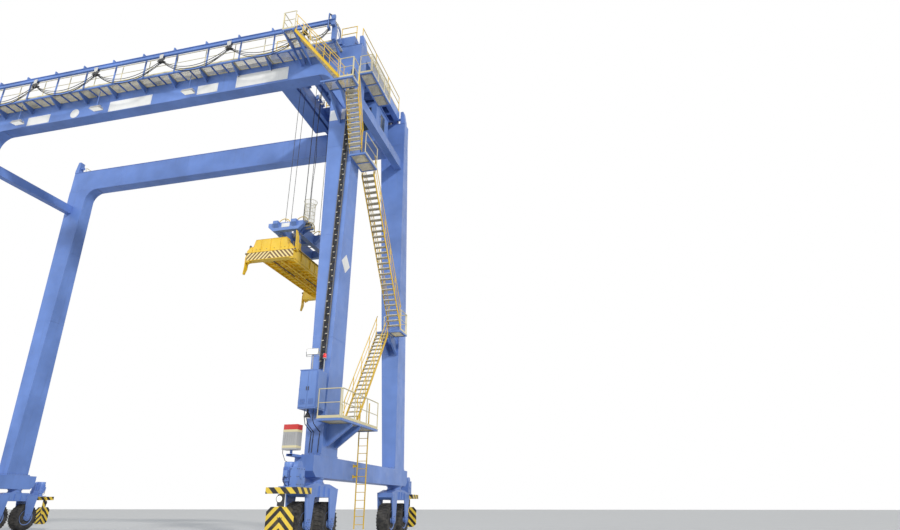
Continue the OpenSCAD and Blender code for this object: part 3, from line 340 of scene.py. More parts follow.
class Shape:
    """Gathers closed solids into one mesh.

    Points are measured from origin, then turned by place if there is one. mark is the look of what comes next.
    """

    def __init__(self, place=None, origin=(0, 0, 0)):
        self.verts, self.faces, self.marks = [], [], []
        self.mark, self.place, self.origin = 0, place, origin

    def add(self, verts, faces, marks=None):
        base = len(self.verts)
        ox, oy, oz = self.origin
        verts = [(x + ox, y + oy, z + oz) for x, y, z in verts]
        if self.place:
            verts = [tuple(self.place @ Vector(v)) for v in verts]
        self.verts += verts
        self.faces += [tuple(base + i for i in f) for f in faces]
        self.marks += marks or [self.mark] * len(faces)

    def take(self, other):
        self.add(other.verts, other.faces, other.marks)

    def box(self, low, high):
        (a, d), (b, e), (c, f) = (sorted(pair) for pair in zip(low, high))
        self.add([(a, b, c), (d, b, c), (d, e, c), (a, e, c), (a, b, f), (d, b, f), (d, e, f), (a, e, f)], SIX_FACES)

    def border(self, low, high, width, z0, z1):
        """Four bars inside the edge of a rectangle in plan."""
        (x0, y0), (x1, y1) = low, high
        self.box((x0, y0, z0), (x1, y0 + width, z1))
        self.box((x0, y1 - width, z0), (x1, y1, z1))
        self.box((x0, y0 + width, z0), (x0 + width, y1 - width, z1))
        self.box((x1 - width, y0 + width, z0), (x1, y1 - width, z1))

    def slab(self, start, end, width, height, up=(0, 0, 1)):
        """Rectangular bar from start to end, width across, height along up."""
        s, e = Vector(start), Vector(end)
        along = (e - s).normalized()
        across = along.cross(Vector(up)).normalized() * width / 2
        top = across.cross(along).normalized() * height / 2
        ring = [-across - top, across - top, across + top, -across + top]
        self.add([s + r for r in ring] + [e + r for r in ring], SIX_FACES)

    def prism(self, outline, axis, start, length):
        """Outline in the two other axes, in X, Y, Z order, pushed along axis."""
        def point(a, b, t):
            return {"x": (t, a, b), "y": (a, t, b), "z": (a, b, t)}[axis]
        self.add([point(a, b, t) for t in (start, start + length) for a, b in outline], skin(2, len(outline)))

    def tube(self, points, radius, sides=10, closed=False):
        """Round tube through points, with its corners mitred."""
        pts = [Vector(p) for p in points]
        last = len(pts) - 1
        verts, normal = [], None
        for i, p in enumerate(pts):
            if closed:
                before, after = pts[i - 1], pts[(i + 1) % len(pts)]
            else:
                before, after = pts[max(0, i - 1)], pts[min(last, i + 1)]
            tangent = (after - before).normalized()
            if normal is None:
                side = Vector((0, 0, 1)) if abs(tangent.z) < 0.9 else Vector((1, 0, 0))
                normal = tangent.cross(side).normalized()
            normal = (normal - tangent * normal.dot(tangent)).normalized()
            other = tangent.cross(normal)
            reach = radius
            if 0 < i < last:
                bend = (p - before).normalized().dot((after - p).normalized())
                reach /= max(0.6, math.sqrt((1 + bend) / 2))
            verts += [p + (normal * c + other * d) * reach for c, d in around(sides)]
        self.add(verts, skin(len(pts), sides, closed))

    def lathe(self, profile, at, axis, sides=32):
        """Turns (radius, height) points about the direction axis, with height zero at a point."""
        d = Vector(axis).normalized()
        u = d.cross(Vector((0, 0, 1)) if abs(d.z) < 0.9 else Vector((1, 0, 0))).normalized()
        w = d.cross(u)
        o = Vector(at)
        self.add([o + d * h + (u * c + w * e) * max(r, 0.0004) for r, h in profile for c, e in around(sides)],
                 skin(len(profile), sides))

    def rod(self, start, end, radius, sides=ROD_SIDES):
        s, e = Vector(start), Vector(end)
        self.lathe([(radius, 0), (radius, (e - s).length)], s, e - s, sides)

    def disc(self, radius, thick, at, axis, sides=24):
        self.lathe([(radius, 0), (radius, thick)], at, axis, sides)

    def bolt(self, at, axis, size):
        self.lathe([(size * 1.25, 0), (size * 1.25, size * 0.2)], at, axis, 12)
        self.lathe([(size, size * 0.2), (size, size * 0.8), (size * 0.85, size * 0.95)], at, axis, 6)

    def bolts(self, centre, axis, radius, count, size, first=0.0):
        """Bolts on a circle round axis, which is X, Y or Z either way."""
        i, j = (k for k in range(3) if not axis[k])
        for c, d in around(count, first):
            at = list(centre)
            at[i] += radius * c
            at[j] += radius * d
            self.bolt(at, axis, size)

    def done(self, name, looks, body, slot, bevel=0.0, smooth=35.0, stands_for=()):
        mesh = bpy.data.meshes.new(name)
        mesh.from_pydata([(x + SHIFT, y, z) for x, y, z in self.verts], [], self.faces)
        for look in looks.split():
            mesh.materials.append(M[look])
        mesh.polygons.foreach_set("material_index", self.marks)
        made = bmesh.new()
        made.from_mesh(mesh)
        bmesh.ops.recalc_face_normals(made, faces=made.faces)
        made.to_mesh(mesh)
        made.free()
        obj = bpy.data.objects.new(name, mesh)
        bpy.context.scene.collection.objects.link(obj)
        if bevel:
            tool = obj.modifiers.new("edge", "BEVEL")
            tool.width, tool.segments = bevel, 2
            tool.limit_method, tool.angle_limit = "ANGLE", math.radians(50)
            bpy.context.view_layer.objects.active = obj
            bpy.context.view_layer.update()
            baked = bpy.data.meshes.new_from_object(obj.evaluated_get(bpy.context.evaluated_depsgraph_get()))
            obj.modifiers.clear()
            obj.data = baked
        obj.data.shade_smooth()
        obj.data.set_sharp_from_angle(angle=math.radians(smooth))
        if isinstance(body, str):
            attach(obj, body)
        else:
            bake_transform(obj)
        if stands_for:
            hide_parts(*stands_for)
        return obj


def drawn(points):
    """Points of a path in the frame's own coordinates."""
    return [(x + SHIFT, y, z) for x, y, z in points]


# Walkways and railings
POST, RAILING = 0.05, 1.1


def grating(s, low, high, top, along="x"):
    """Open bar grating in a frame between two plan corners. Bars run across the given direction."""
    frame_width, depth = 0.03, 0.03
    s.mark = 1
    s.border(low, high, frame_width, top - 0.05, top)
    s.mark = 0
    low, high = ([v + change for v in corner] for corner, change in ((low, frame_width), (high, -frame_width)))
    for axis, pitch, half, z0, z1 in ((0, 0.04, 0.003, depth, 0.002), (1, 0.1, 0.004, 0.012, 0.003)):
        if along == "y":
            axis = 1 - axis
        start, length = low[axis], high[axis] - low[axis]
        count = max(2, int(length / pitch))
        for i in range(1, count):
            a, b = [*low, top - z0], [*high, top - z1]
            middle = start + length * i / count
            a[axis], b[axis] = middle - half, middle + half
            s.box(a, b)


def walkway(face, name):
    """Walkway on one girder: gratings, edge channel, cross angles and bolted brackets."""
    s = Shape(mirror(1, face), (0, 0, WALK))
    panels = 12
    step = (WALK_RIGHT - WALK_LEFT) / panels
    for i in range(panels):
        x = WALK_LEFT + i * step
        grating(s, (x + 0.004, WEB + 0.01), (x + step - 0.004, WALK_OUTER - 0.02), 0)
    s.mark = 2
    inner, outer = WEB + 0.012, WALK_OUTER - 0.02
    s.box((WALK_LEFT, WALK_OUTER - 0.012, -0.1), (WALK_RIGHT, WALK_OUTER, 0))
    s.box((WALK_LEFT, WALK_OUTER - 0.06, -0.1), (WALK_RIGHT, WALK_OUTER - 0.012, -0.09))
    s.box((WALK_LEFT, WEB, -0.11), (WALK_RIGHT, inner, -0.05))
    bay = (WALK_RIGHT - WALK_LEFT - 0.22) / panels
    for i in range(3 * panels):
        if i % 3:
            x = WALK_LEFT + 0.11 + i * bay / 3
            s.box((x - 0.02, inner, -0.11), (x - 0.01, WALK_OUTER - 0.06, -0.05))
            s.box((x - 0.01, inner, -0.06), (x + 0.04, WALK_OUTER - 0.06, -0.05))
    for i in range(panels + 1):
        x = WALK_LEFT + 0.1 + i * bay
        web = [(WEB, -0.05), (WEB, -0.45), (WEB + 0.08, -0.45), (outer, -0.12), (outer, -0.05)]
        s.prism(web, "x", x + 0.005, 0.01)
        s.slab((x + 0.01, WEB + 0.08, -0.452), (x + 0.01, outer, -0.122), 0.06, 0.01)
        s.box((x - 0.02, WEB, -0.47), (x + 0.04, inner, -0.05))
        s.mark = 3
        for z in (-0.4, -0.28, -0.16):
            for dx in (-0.01, 0.03):
                s.bolt((x + dx, inner, z), (0, 1, 0), 0.011)
        s.mark = 2
    s.done(name + "_grating", "grating cream blue_fine galv", "portal", "grating_grey", stands_for=[name])


walkway(-1, "near_walkway")
walkway(1, "far_walkway")


def railing(s, axis, start, end, side, z, bays):
    """Tube railing along X or Y from start to end, with bolted posts, a knee rail and a toe board."""
    def point(along, height, off=0.0):
        return (along, middle + off, height) if axis == "x" else (middle + off, along, height)
    middle = side + POST / 2
    top = z + RAILING - 0.021
    for i in range(bays + 1):
        x, y, _ = point(start + i * (end - start - POST) / bays + POST / 2, z)
        s.rod((x, y, z), (x, y, top), 0.021)
        s.box((x - 0.045, y - 0.028, z), (x + 0.045, y + 0.028, z + 0.01))
        for dx in (-0.032, 0.032):
            s.bolt((x + dx, y, z + 0.01), (0, 0, 1), 0.008)
    bends = ((0, 0.04), (0.012, 0.012), (0.04, 0))
    s.tube([point(start + a, top - drop) for a, drop in bends]
           + [point(end - a, top - drop) for a, drop in reversed(bends)], 0.021, 12)
    knee = z + RAILING / 2 + 0.02
    s.rod(point(start + 0.01, knee), point(end - 0.01, knee), 0.016, 10)
    s.box(point(start, z + 0.012, -0.003), point(end, z + 0.112, 0.003))


BRIDGE_LOW, BRIDGE_HIGH, BRIDGE_OUTER = HALF - 3.35, HALF - 2.65, WALK_OUTER + 1.3

s = Shape()
railing(s, "x", WALK_LEFT, BRIDGE_LOW, -WALK_OUTER + 0.005, WALK, 12)
railing(s, "x", BRIDGE_HIGH, WALK_RIGHT, -WALK_OUTER + 0.005, WALK, 1)
railing(s, "y", -WALK_OUTER + POST + 0.015, -3.86, WALK_LEFT, WALK, 1)
s.done("near_railing_tubes", "cream", "portal", "railing_cream", stands_for=["near_railing"])
s = Shape()
railing(s, "x", WALK_LEFT, WALK_RIGHT, WALK_OUTER - POST - 0.005, WALK, 13)
railing(s, "y", 3.86, WALK_OUTER - POST - 0.015, WALK_LEFT, WALK, 1)
s.done("far_railing_tubes", "cream", "portal", "railing_cream", stands_for=["far_railing"])

# Stairs and landings
STAIR, SIDE, RISE = 0.57, 0.03, 0.22  # length of a tread, depth of the side channels, rise of a step
FLIGHT = STAIR + 2 * SIDE
# levels of the landings, then their near and far edges and their sides
HIGH_1, HIGH_2 = BOTTOM - 2.35, BOTTOM - 5.41
PLATFORM = SILL + 1.25
HIGH_3, END_HIGH = PLATFORM + 5.3, BOTTOM - 0.45
L1_NEAR, L1_FAR = -BRIDGE_OUTER - 0.1, -BRIDGE_OUTER + 0.6
L2_NEAR, L2_FAR = -4.4, -2.9
L3_NEAR, L3_FAR = 1.75, 2.75
P_NEAR, P_FAR = -5.5, -1.8
END_NEAR, END_FAR = -3.95, -1.3
INNER_X, OUTER_X = HALF - FLIGHT - 0.02, HALF + FLIGHT + 0.02
L2_X, PLAT_X, END_X = HALF + 0.8, HALF + 1.0, HALF + 0.7


def flight(s, a, za, b, zb):
    """Stair drawn along Y from a at height za to b at zb, its near side at x zero."""
    steps = round((za - zb) / RISE)
    run, rise = (b - a) / steps, (zb - za) / steps
    front = math.copysign(0.11, run)
    s.mark = 0
    for x in (0.0, STAIR + SIDE):
        s.prism([(a, za - 0.25), (b, zb + 0.03), (b, zb + 0.25), (a, za - 0.03)], "x", x + 0.010, 0.010)
        for z in (-0.25, -0.04):
            s.prism([(a, za + z), (b, zb + 0.28 + z), (b, zb + 0.29 + z), (a, za + 0.01 + z)], "x", x, SIDE)
    s.mark = 1
    for i in range(1, steps):
        s.origin = (SIDE, a + run * i, za + rise * i)
        for x in (0, STAIR - 0.006):
            s.box((x, -0.11, -0.035), (x + 0.006, 0.11, 0))
        s.box((0, front, -0.035), (STAIR, front * 0.80, 0))
        s.box((0, -front, -0.035), (STAIR, -front * 0.95, 0))
        for k in range(5):
            y = front * (1.4 * k / 5 - 0.7)
            s.box((0, y - 0.003, -0.03), (STAIR, y + 0.003, -0.002))
        for k in range(1, 6):
            x = STAIR * k / 6
            s.box((x - 0.003, -0.1, -0.014), (x + 0.003, 0.1, -0.004))


def handrails(s, a, za, b, zb, posts):
    """Tubular rails over both side plates of a flight."""
    za, zb = za - 0.03, zb + 0.25
    post = 0.036 / abs(b - a)  # width of a post as a share of the run

    def at(x, t, lift):
        return x, a + (b - a) * t, za + (zb - za) * t + lift

    for x in (SIDE / 2, STAIR + SIDE * 1.5):
        for i in range(posts + 1):
            t = 0.03 + (0.94 - post) * i / posts + post / 2
            s.rod(at(x, t, -0.12), at(x, t, 0.89), 0.017, 10)
        for lift, radius in ((0.885, 0.019), (0.445, 0.014)):
            s.rod(at(x, 0.01, lift), at(x, 0.99, lift), radius)


along_girder = Matrix.Translation((0, -BRIDGE_OUTER + FLIGHT, 0)) @ Matrix.Rotation(-math.pi / 2, 4, "Z")
outside = Matrix.Translation((HALF + 0.01, 0, 0))
inside = Matrix.Translation((INNER_X + 0.01, 0, 0)) @ Matrix.Scale(-1, 4, (0, 1, 0))
rails = Shape()
for name, place, *run, posts in (
    ("upper_flight", along_girder, BRIDGE_HIGH, WALK, HALF - 0.06, HIGH_1, 3),
    ("flight_1", outside, L1_FAR, HIGH_1, L2_NEAR, HIGH_2, 2),
    ("flight_2", outside, L2_FAR, HIGH_2, L3_NEAR, HIGH_3, 5),
    ("flight_3", inside, -L3_NEAR, HIGH_3, -P_FAR, PLATFORM, 4),
):
    s = Shape(place)
    flight(s, *run)
    s.done(name + "_treads", "yellow grating", "portal", "stair_yellow", stands_for=[name])
    s = Shape(place)
    handrails(s, *run, posts)
    rails.take(s)
rails.done("stair_handrail_tubes", "yellow", "portal", "stair_yellow", stands_for=["stair_handrails"])


def leg_outer(z):
    return 3.85 + 1.0 * (BOTTOM - z) / (BOTTOM - SILL)


def leg_inner(z):
    return 3.15 + 0.3 * (BOTTOM - z) / (BOTTOM - SILL)


def floor(s, low, high, top, count, split="x", along="x"):
    """Landing floor: grating panels in a channel border, with flanges and cross bars below."""
    across = 0 if split == "x" else 1
    start, length = low[across], high[across] - low[across]
    cuts = [start + length * i / count for i in range(count + 1)]

    def corners(a, b, gap):
        """Two corners that leave gap at the border, from a to b along the split."""
        one, two = [v + gap for v in low], [v - gap for v in high]
        one[across], two[across] = a, b
        return one, two

    for a, b in zip(cuts, cuts[1:]):
        grating(s, *corners(a + 0.003, b - 0.003, 0.012), top, along)
    s.mark = 2
    s.border(low, high, 0.01, top - 0.08, top)
    s.border([v + 0.01 for v in low], [v - 0.01 for v in high], 0.07, top - 0.08, top - 0.07)
    for c in cuts[1:-1]:
        one, two = corners(c - 0.035, c + 0.035, 0.08)
        s.box((*one, top - 0.08), (*two, top - 0.07))


def flanges(s, x, *points):
    """Flat bars on a bracket's web, from point to point in the plane at x."""
    for a, b in zip(points, points[1:]):
        s.slab((x, *a), (x, *b), 0.1, 0.012)


s = Shape()
floor(s, (BRIDGE_LOW, -BRIDGE_OUTER), (BRIDGE_HIGH, -WALK_OUTER), WALK, 2, "y")
for x in (BRIDGE_LOW + 0.06, BRIDGE_HIGH - 0.12):
    s.prism([(-WEB, WALK - 0.46), (-WEB, WALK - 0.6), (-BRIDGE_OUTER, WALK - 0.16), (-BRIDGE_OUTER, WALK - 0.08),
             (-WALK_OUTER - 0.3, WALK - 0.08), (-WALK_OUTER, WALK - 0.26)], "x", x, 0.06)
floor(s, (HALF - 0.95, L1_NEAR), (OUTER_X, L1_FAR), HIGH_1, 2)
low = HIGH_1 - 0.08
root = (-leg_outer(low - 0.9) - 0.09, low - 0.9)
for x in (HALF - 0.76, HALF - 0.16):
    s.prism([(-leg_outer(HIGH_1), HIGH_1), (-leg_outer(low - 0.9), low - 0.9), root, (L1_FAR - 0.1, low - 0.12),
             (L1_NEAR, low - 0.12), (L1_NEAR, low), (L1_FAR, low), (L1_FAR, HIGH_1)], "x", x, 0.02)
    flanges(s, x + 0.01, root, (L1_FAR - 0.1, low - 0.12), (L1_NEAR, low - 0.12))
    flanges(s, x + 0.01, (-leg_outer(HIGH_1), HIGH_1 - 0.006), (L1_FAR, HIGH_1 - 0.006))
floor(s, (HALF, L2_NEAR), (L2_X, L2_FAR), HIGH_2, 2, "y", "y")
floor(s, (INNER_X, L3_NEAR), (OUTER_X, L3_FAR), HIGH_3, 2)
low = HIGH_3 - 0.08
root = (leg_inner(low - 0.8) - 0.09, low - 0.8)
for x in (INNER_X + 0.1, HALF - 0.12):
    s.prism([(leg_inner(HIGH_3), HIGH_3), (leg_inner(low - 0.8), low - 0.8), root, (L3_NEAR + 0.3, low - 0.1),
             (L3_NEAR + 0.3, low), (L3_FAR, low), (L3_FAR, HIGH_3)], "x", x, 0.02)
    flanges(s, x + 0.01, root, (L3_NEAR + 0.3, low - 0.1))
floor(s, (HALF, P_NEAR), (PLAT_X, P_FAR), PLATFORM, 3, "y", "y")
floor(s, (INNER_X, P_FAR - 1.6), (HALF, P_FAR), PLATFORM, 1, "y", "y")
low = PLATFORM - 0.08
for y in (-4.51, -3.71):
    s.prism([(HALF, low), (HALF, low - 0.8), (HALF + 0.09, low - 0.8), (PLAT_X, low - 0.1), (PLAT_X, low)],
            "y", y, 0.02)
    s.slab((HALF + 0.09, y + 0.01, low - 0.8), (PLAT_X, y + 0.01, low - 0.1), 0.1, 0.012)
    s.box((HALF, y - 0.05, low - 0.84), (HALF + 0.012, y + 0.07, low))
floor(s, (HALF, END_NEAR), (END_X, END_FAR), END_HIGH, 3, "y", "y")
s.done("landing_floors", "grating cream blue_fine galv", "portal", "frame_blue", stands_for=["landings"])

s = Shape()
for row in (
    ("x", BRIDGE_LOW, BRIDGE_HIGH, -BRIDGE_OUTER, WALK, 1),
    ("y", -BRIDGE_OUTER + POST + 0.01, -WALK_OUTER - 0.52, BRIDGE_LOW, WALK, 1),
    ("x", HALF - 0.04, OUTER_X, L1_NEAR, HIGH_1, 1),
    ("y", L1_NEAR + POST + 0.01, L1_FAR, OUTER_X - POST, HIGH_1, 1),
    ("y", L2_NEAR, L2_FAR, L2_X - POST, HIGH_2, 1),
    ("y", L3_NEAR, L3_FAR, OUTER_X - POST, HIGH_3, 1),
    ("x", INNER_X, OUTER_X - POST - 0.01, L3_FAR - POST, HIGH_3, 1),
    ("y", P_NEAR, P_FAR, PLAT_X - POST, PLATFORM, 3),
    ("x", HALF, PLAT_X - POST - 0.01, P_NEAR, PLATFORM, 1),
    ("y", P_FAR - 1.6, P_FAR - 0.02, INNER_X, PLATFORM, 1),
    ("y", END_NEAR, END_FAR, END_X - POST, END_HIGH, 3),
    ("x", HALF + 0.01, END_X - 0.01 - POST, END_NEAR, END_HIGH, 1),
    ("x", HALF + 0.01, END_X - 0.01 - POST, END_FAR - POST, END_HIGH, 1),
):
    railing(s, *row)
# wire mesh on the railing of the landing at the girders' end
s.origin = (END_X - POST / 2, END_NEAR, END_HIGH + 0.11)
wire = 0.0025
for i in range(1, 53):
    y = (END_FAR - END_NEAR) * i / 53
    s.box((-wire, y - wire, 0), (wire, y + wire, 0.95))
for i in range(1, 19):
    z = 0.95 * i / 19
    s.box((-wire, 0.02, z - wire), (wire, 2.63, z + wire))
s.done("landing_railing_tubes", "cream", "portal", "railing_cream", stands_for=["landing_railings"])

# access ladder: angle stiles, rungs and two brackets
LADDER_LOW = 0.5
s = Shape(None, (HALF, P_FAR, 0))
for x in (0.175, 0.575):
    for y, width, height in ((0.02, 0.05, 0.012), (0.006, 0.012, 0.05)):
        s.slab((x, y, LADDER_LOW), (x, y, PLATFORM + RAILING), width, height, up=(1, 0, 0))
for i in range(1, int((PLATFORM - LADDER_LOW) / 0.3) + 1):
    z = LADDER_LOW + i * 0.3 - 0.135
    s.rod((0.17, 0.02, z), (0.58, 0.02, z), 0.012, 10)
for z in (2.42, SILL - 0.22):
    s.box((0, 0, z), (0.16, 0.01, z + 0.08))
    s.box((0, 0, z + 0.07), (0.16, 0.04, z + 0.08))
    s.box((0, -0.03, z - 0.03), (0.01, 0.07, z + 0.11))
s.done("access_ladder_rungs", "yellow", "portal", "stair_yellow", stands_for=["access_ladder"])


# Wheels and bogies
def tyre_mesh():
    """Lugged tyre on a dished rim, turned about X at the origin."""
    s = Shape()
    centre, axis, half = (0, 0, 0), (1, 0, 0), 0.28
    wall = [(0.425, 0.035), (0.44, 0.012), (0.52, 0.002), (0.60, 0), (0.655, 0.008), (0.69, 0.03), (0.715, 0.055),
            (0.723, 0.12)]
    s.lathe([(r, w - half) for r, w in wall] + [(0.725, 0)] + [(r, half - w) for r, w in reversed(wall)],
            centre, axis, 72)
    for ring in (0.47, 0.50, 0.63):
        for side in PAIR:
            x = side * (half + (0.0 if ring > 0.5 else -0.006))
            s.tube([(x, c * ring, d * ring) for c, d in around(48)], 0.006, 6, closed=True)
    lugs, skew = 30, 0.07
    wide = math.tau / lugs * 0.31
    rows = ((0.015, 0.0, 0.70, 0.7495), (0.13, 0.25, 0.70, 0.7495), (0.22, 0.55, 0.70, 0.744),
            (half - 0.005, 1.0, 0.665, 0.715))  # place across the tyre, share of the skew, two radii
    lug_faces = []
    for a in range(0, 12, 4):
        b = a + 4
        lug_faces += [(a, a + 1, b + 1, b), (a + 1, a + 3, b + 3, b + 1), (a + 3, a + 2, b + 2, b + 3),
                      (a + 2, a, b, b + 2)]
    lug_faces += [(0, 2, 3, 1), (12, 13, 15, 14)]
    for i in range(lugs):
        for side in PAIR:
            verts = []
            for x, share, low, high in rows:
                middle = math.tau * (i + (0.5 if side > 0 else 0)) / lugs + skew * share
                verts += [(side * x, math.cos(a) * r, math.sin(a) * r)
                          for a in (middle - wide / 2, middle + wide / 2) for r in (low, high)]
            s.add(verts, lug_faces)
    rim = [(0.091, 0.339), (0.145, 0.339), (0.15, 0.33), (0.15, 0.20), (0.17, 0.17), (0.31, 0.14), (0.345, 0.155),
           (0.37, 0.20), (0.39, 0.245), (0.43, 0.262), (0.435, 0.25), (0.41, 0.235), (0.385, 0.15), (0.36, 0.10),
           (0.2, 0.06), (0.091, 0.05)]
    for side in PAIR:
        s.mark = 1
        s.lathe([(r, side * x) for r, x in rim], centre, axis, 56)
        s.mark = 2
        s.bolts((side * 0.155, 0, 0), (side, 0, 0), 0.235, 12, 0.018)
    s.mark = 1
    s.lathe([(0.425, -0.24), (0.425, 0.24)], centre, axis, 56)
    return s


CORNERS = [(side, face) for side in (1, -1) for face in PAIR]
tyre = tyre_mesh()
number = 0
for side, face in CORNERS:
    for end in PAIR:
        number += 1
        place = Matrix.Translation((side * FOOT, face * BOGIE + end * WHEEL_REACH, AXLE))
        s = Shape(place @ Matrix.Rotation(0.37 * number, 4, "X"))
        s.take(tyre)
        s.done(f"tyre_{number}", "rubber blue_fine dark_steel", f"wheel_{number}_body", "tyre_black",
               stands_for=[f"wheel_{number}"])


def bogie_fittings(s):
    """Bolts, caps, welds and stiffeners on one bogie, drawn for the right far corner."""
    for end in PAIR:
        s.origin = (FOOT, BOGIE + end * WHEEL_REACH, AXLE)
        for side in PAIR:
            out, cap, axis = side * FORK_OUT, side * (FORK_OUT + 0.0305), (side, 0, 0)
            s.mark = 1
            s.bolts((out, 0, 0), axis, 0.165, 8, 0.014, 0.39)
            s.bolts((cap, 0, 0), axis, 0.09, 6, 0.011)
            s.mark = 0
            s.lathe([(0.045, 0), (0.045, 0.012), (0.03, 0.02)], (cap, 0, 0), axis, 20)
            for y in PAIR:
                s.rod((out, y * 0.36, 1.205), (out, y * 0.20, 0.20), 0.009, 8)
    s.origin = (FOOT, BOGIE, 0)
    for z, thick in ((2.255, 0.045), (2.10, 0.035)):
        s.disc(0.375, thick, (0, 0, z), (0, 0, 1), 48)
    s.mark = 1
    s.bolts((0, 0, 2.135), (0, 0, 1), 0.357, 16, 0.012)
    s.mark = 0
    for x in (-FORK_IN - 0.045, FORK_IN):
        for y in (-0.22, 0.20):
            s.box((x, y, 1.66), (x + 0.045, y + 0.014, 2.02))


def drive_fittings(s):
    """Finned motor, gearcase lids and hoses over the drive unit solids."""
    s.origin = (FOOT, BOGIE + 1.35, 1.96)
    up = (0, 0, 1)
    mx, my = -0.15, 0.27
    s.mark = 0
    for c, d in around(28):
        x, y = mx + 0.199 * c, my + 0.199 * d
        s.slab((x, y, 0.20), (x, y, 0.63), 0.006, 0.024, up=(c, d, 0))
    s.lathe([(0.20, 0.155), (0.205, 0.16), (0.205, 0.185), (0.20, 0.19)], (mx, my, 0), up)
    s.lathe([(0.192, 0.65), (0.192, 0.78), (0.18, 0.80), (0.10, 0.80)], (mx, my, 0), up)
    s.box((mx - 0.09, my + 0.19, 0.30), (mx + 0.07, my + 0.27, 0.52))
    s.mark = 1
    s.bolts((mx, my, 0), up, 0.17, 8, 0.012)
    for z in (0.06, 0.31, 0.56):
        for x in (0.05, 0.29):
            s.bolt((x, 0.52, z), (0, 1, 0), 0.013)
        for y in (0.10, 0.28, 0.46):
            s.bolt((0.32, y, z), (1, 0, 0), 0.013)
    for x in (-0.27, -0.1, 0.1, 0.27):
        s.bolt((x, 0.04, 0.24), (0, 1, 0), 0.015)
    s.mark = 0
    s.lathe([(0.09, 0), (0.09, 0.02), (0.03, 0.03)], (0.32, 0.28, 0.31), (1, 0, 0), 24)
    s.mark = 2
    s.tube([(mx + x, my + y, z) for x, y, z in ((-0.01, 0.27, 0.34), (-0.01, 0.31, 0.30), (-0.02, 0.30, 0.12),
                                                (0.02, 0.2, 0.03), (0.02, -0.2, 0.02))], 0.012, 8)


for side, face in CORNERS:
    tag = ("near" if face < 0 else "far") + ("_right" if side > 0 else "_left")
    s = Shape(mirror(side, face))
    bogie_fittings(s)
    drive_fittings(s)
    s.done(f"bogie_fittings_{tag}", "blue_fine dark_steel cable", "portal", "frame_blue")

# lamps on black brackets between the bumper bars and the boards, and the boards' bolts
whole = Shape()
for side, face in CORNERS:
    s = Shape(mirror(side, face), (FOOT, 0, 0))
    s.box((-0.13, 6.765, 1.34), (0.13, 6.785, 1.70))
    s.lathe([(0.11, -0.02), (0.125, 0.0), (0.125, 0.008)], (-0.06, 6.77, 1.56), (0, 1, 0), 28)
    s.mark = 1
    s.lathe([(0.10, 0.0), (0.10, 0.012), (0.06, 0.02)], (-0.06, 6.775, 1.56), (0, 1, 0), 28)
    s.mark = 2
    for x in (-0.07, 0.07):
        for z in (0.98, 1.24):
            s.bolt((x, 6.765, z), (0, 1, 0), 0.014)
    whole.take(s)
whole.done("bumper_lamps", "black white_lens dark_steel", "portal", "frame_blue")

# Welds, plates and lamps on legs and girders
whole = Shape()
for side, face in CORNERS:
    s = Shape(mirror(side, face), (HALF, 0, 0))
    s.mark = 1
    for k in range(9):
        y = 3.42 + (4.88 - 3.42) * k / 8
        for x in (-0.03, -0.725):
            s.bolt((x, y, 3.11), (0, 0, 1), 0.018)
    for x in (-0.6, -0.45, -0.3, -0.15):
        for y in (3.405, 4.89):
            s.bolt((x, y, 3.11), (0, 0, 1), 0.018)
    s.mark = 0
    for z in (7.6, 12.3, 17.0, 21.62):
        wide = 0.68 + (1.48 - 0.68) * (z - SILL) / (BOTTOM - SILL)
        s.tube([(0.001, leg_inner(z), z), (0.001, leg_outer(z), z), (-wide, leg_outer(z), z),
                (-wide, leg_inner(z), z)], 0.006, 6, closed=True)
    whole.take(s)
for face in PAIR:
    for x in (-8.2, -2.9, 2.4, 7.7):
        for (y0, z0), (y1, z1) in (((3.83, BOTTOM + 0.03), (3.832, TOP - 0.03)),
                                   ((3.17, BOTTOM + 0.03), (3.168, TOP - 0.03)), ((3.16, BOTTOM), (3.84, BOTTOM))):
            whole.tube([(x, face * y0, z0), (x, face * y1, z1)], 0.006, 6)
whole.done("weld_seams", "blue_fine dark_steel", "portal", "frame_blue")

# bare plates on four screws, a round one, and one on each face of the near right leg
s = Shape()
for x0, x1, z0, z1 in ((-8.40, -6.85, 21.72, 22.28), (-2.78, -0.02, 21.70, 22.36), (2.86, 4.10, 21.78, 22.34),
                       (5.20, 8.22, 21.78, 22.56)):
    s.mark = 0
    s.box((x0, -WEB - 0.012, z0), (x1, -WEB, z1))
    s.mark = 1
    for x in (x0 + 0.05, x1 - 0.05):
        for z in (z0 + 0.05, z1 - 0.05):
            s.bolt((x, -WEB - 0.012, z), (0, -1, 0), 0.009)
s.mark = 0
s.lathe([(0.29, 0), (0.29, 0.012), (0.27, 0.016)], (-5.10, -WEB, 22.0), (0, -1, 0), 40)
lean = math.atan(1.0 / 18.6)
part = Shape(Matrix.Translation((11.32, -leg_outer(18.85), 18.85)) @ Matrix.Rotation(-lean, 4, "X"))
part.box((-0.4, -0.014, -0.31), (0.4, 0.0, 0.31))
s.take(part)
part = Shape(Matrix.Translation((HALF, -3.91, 11.02)) @ Matrix.Rotation(math.pi / 4, 4, "X"))
part.box((0, -0.3, -0.3), (0.008, 0.3, 0.3))
s.take(part)
s.done("bare_plates", "white dark_steel", "portal", "frame_blue")


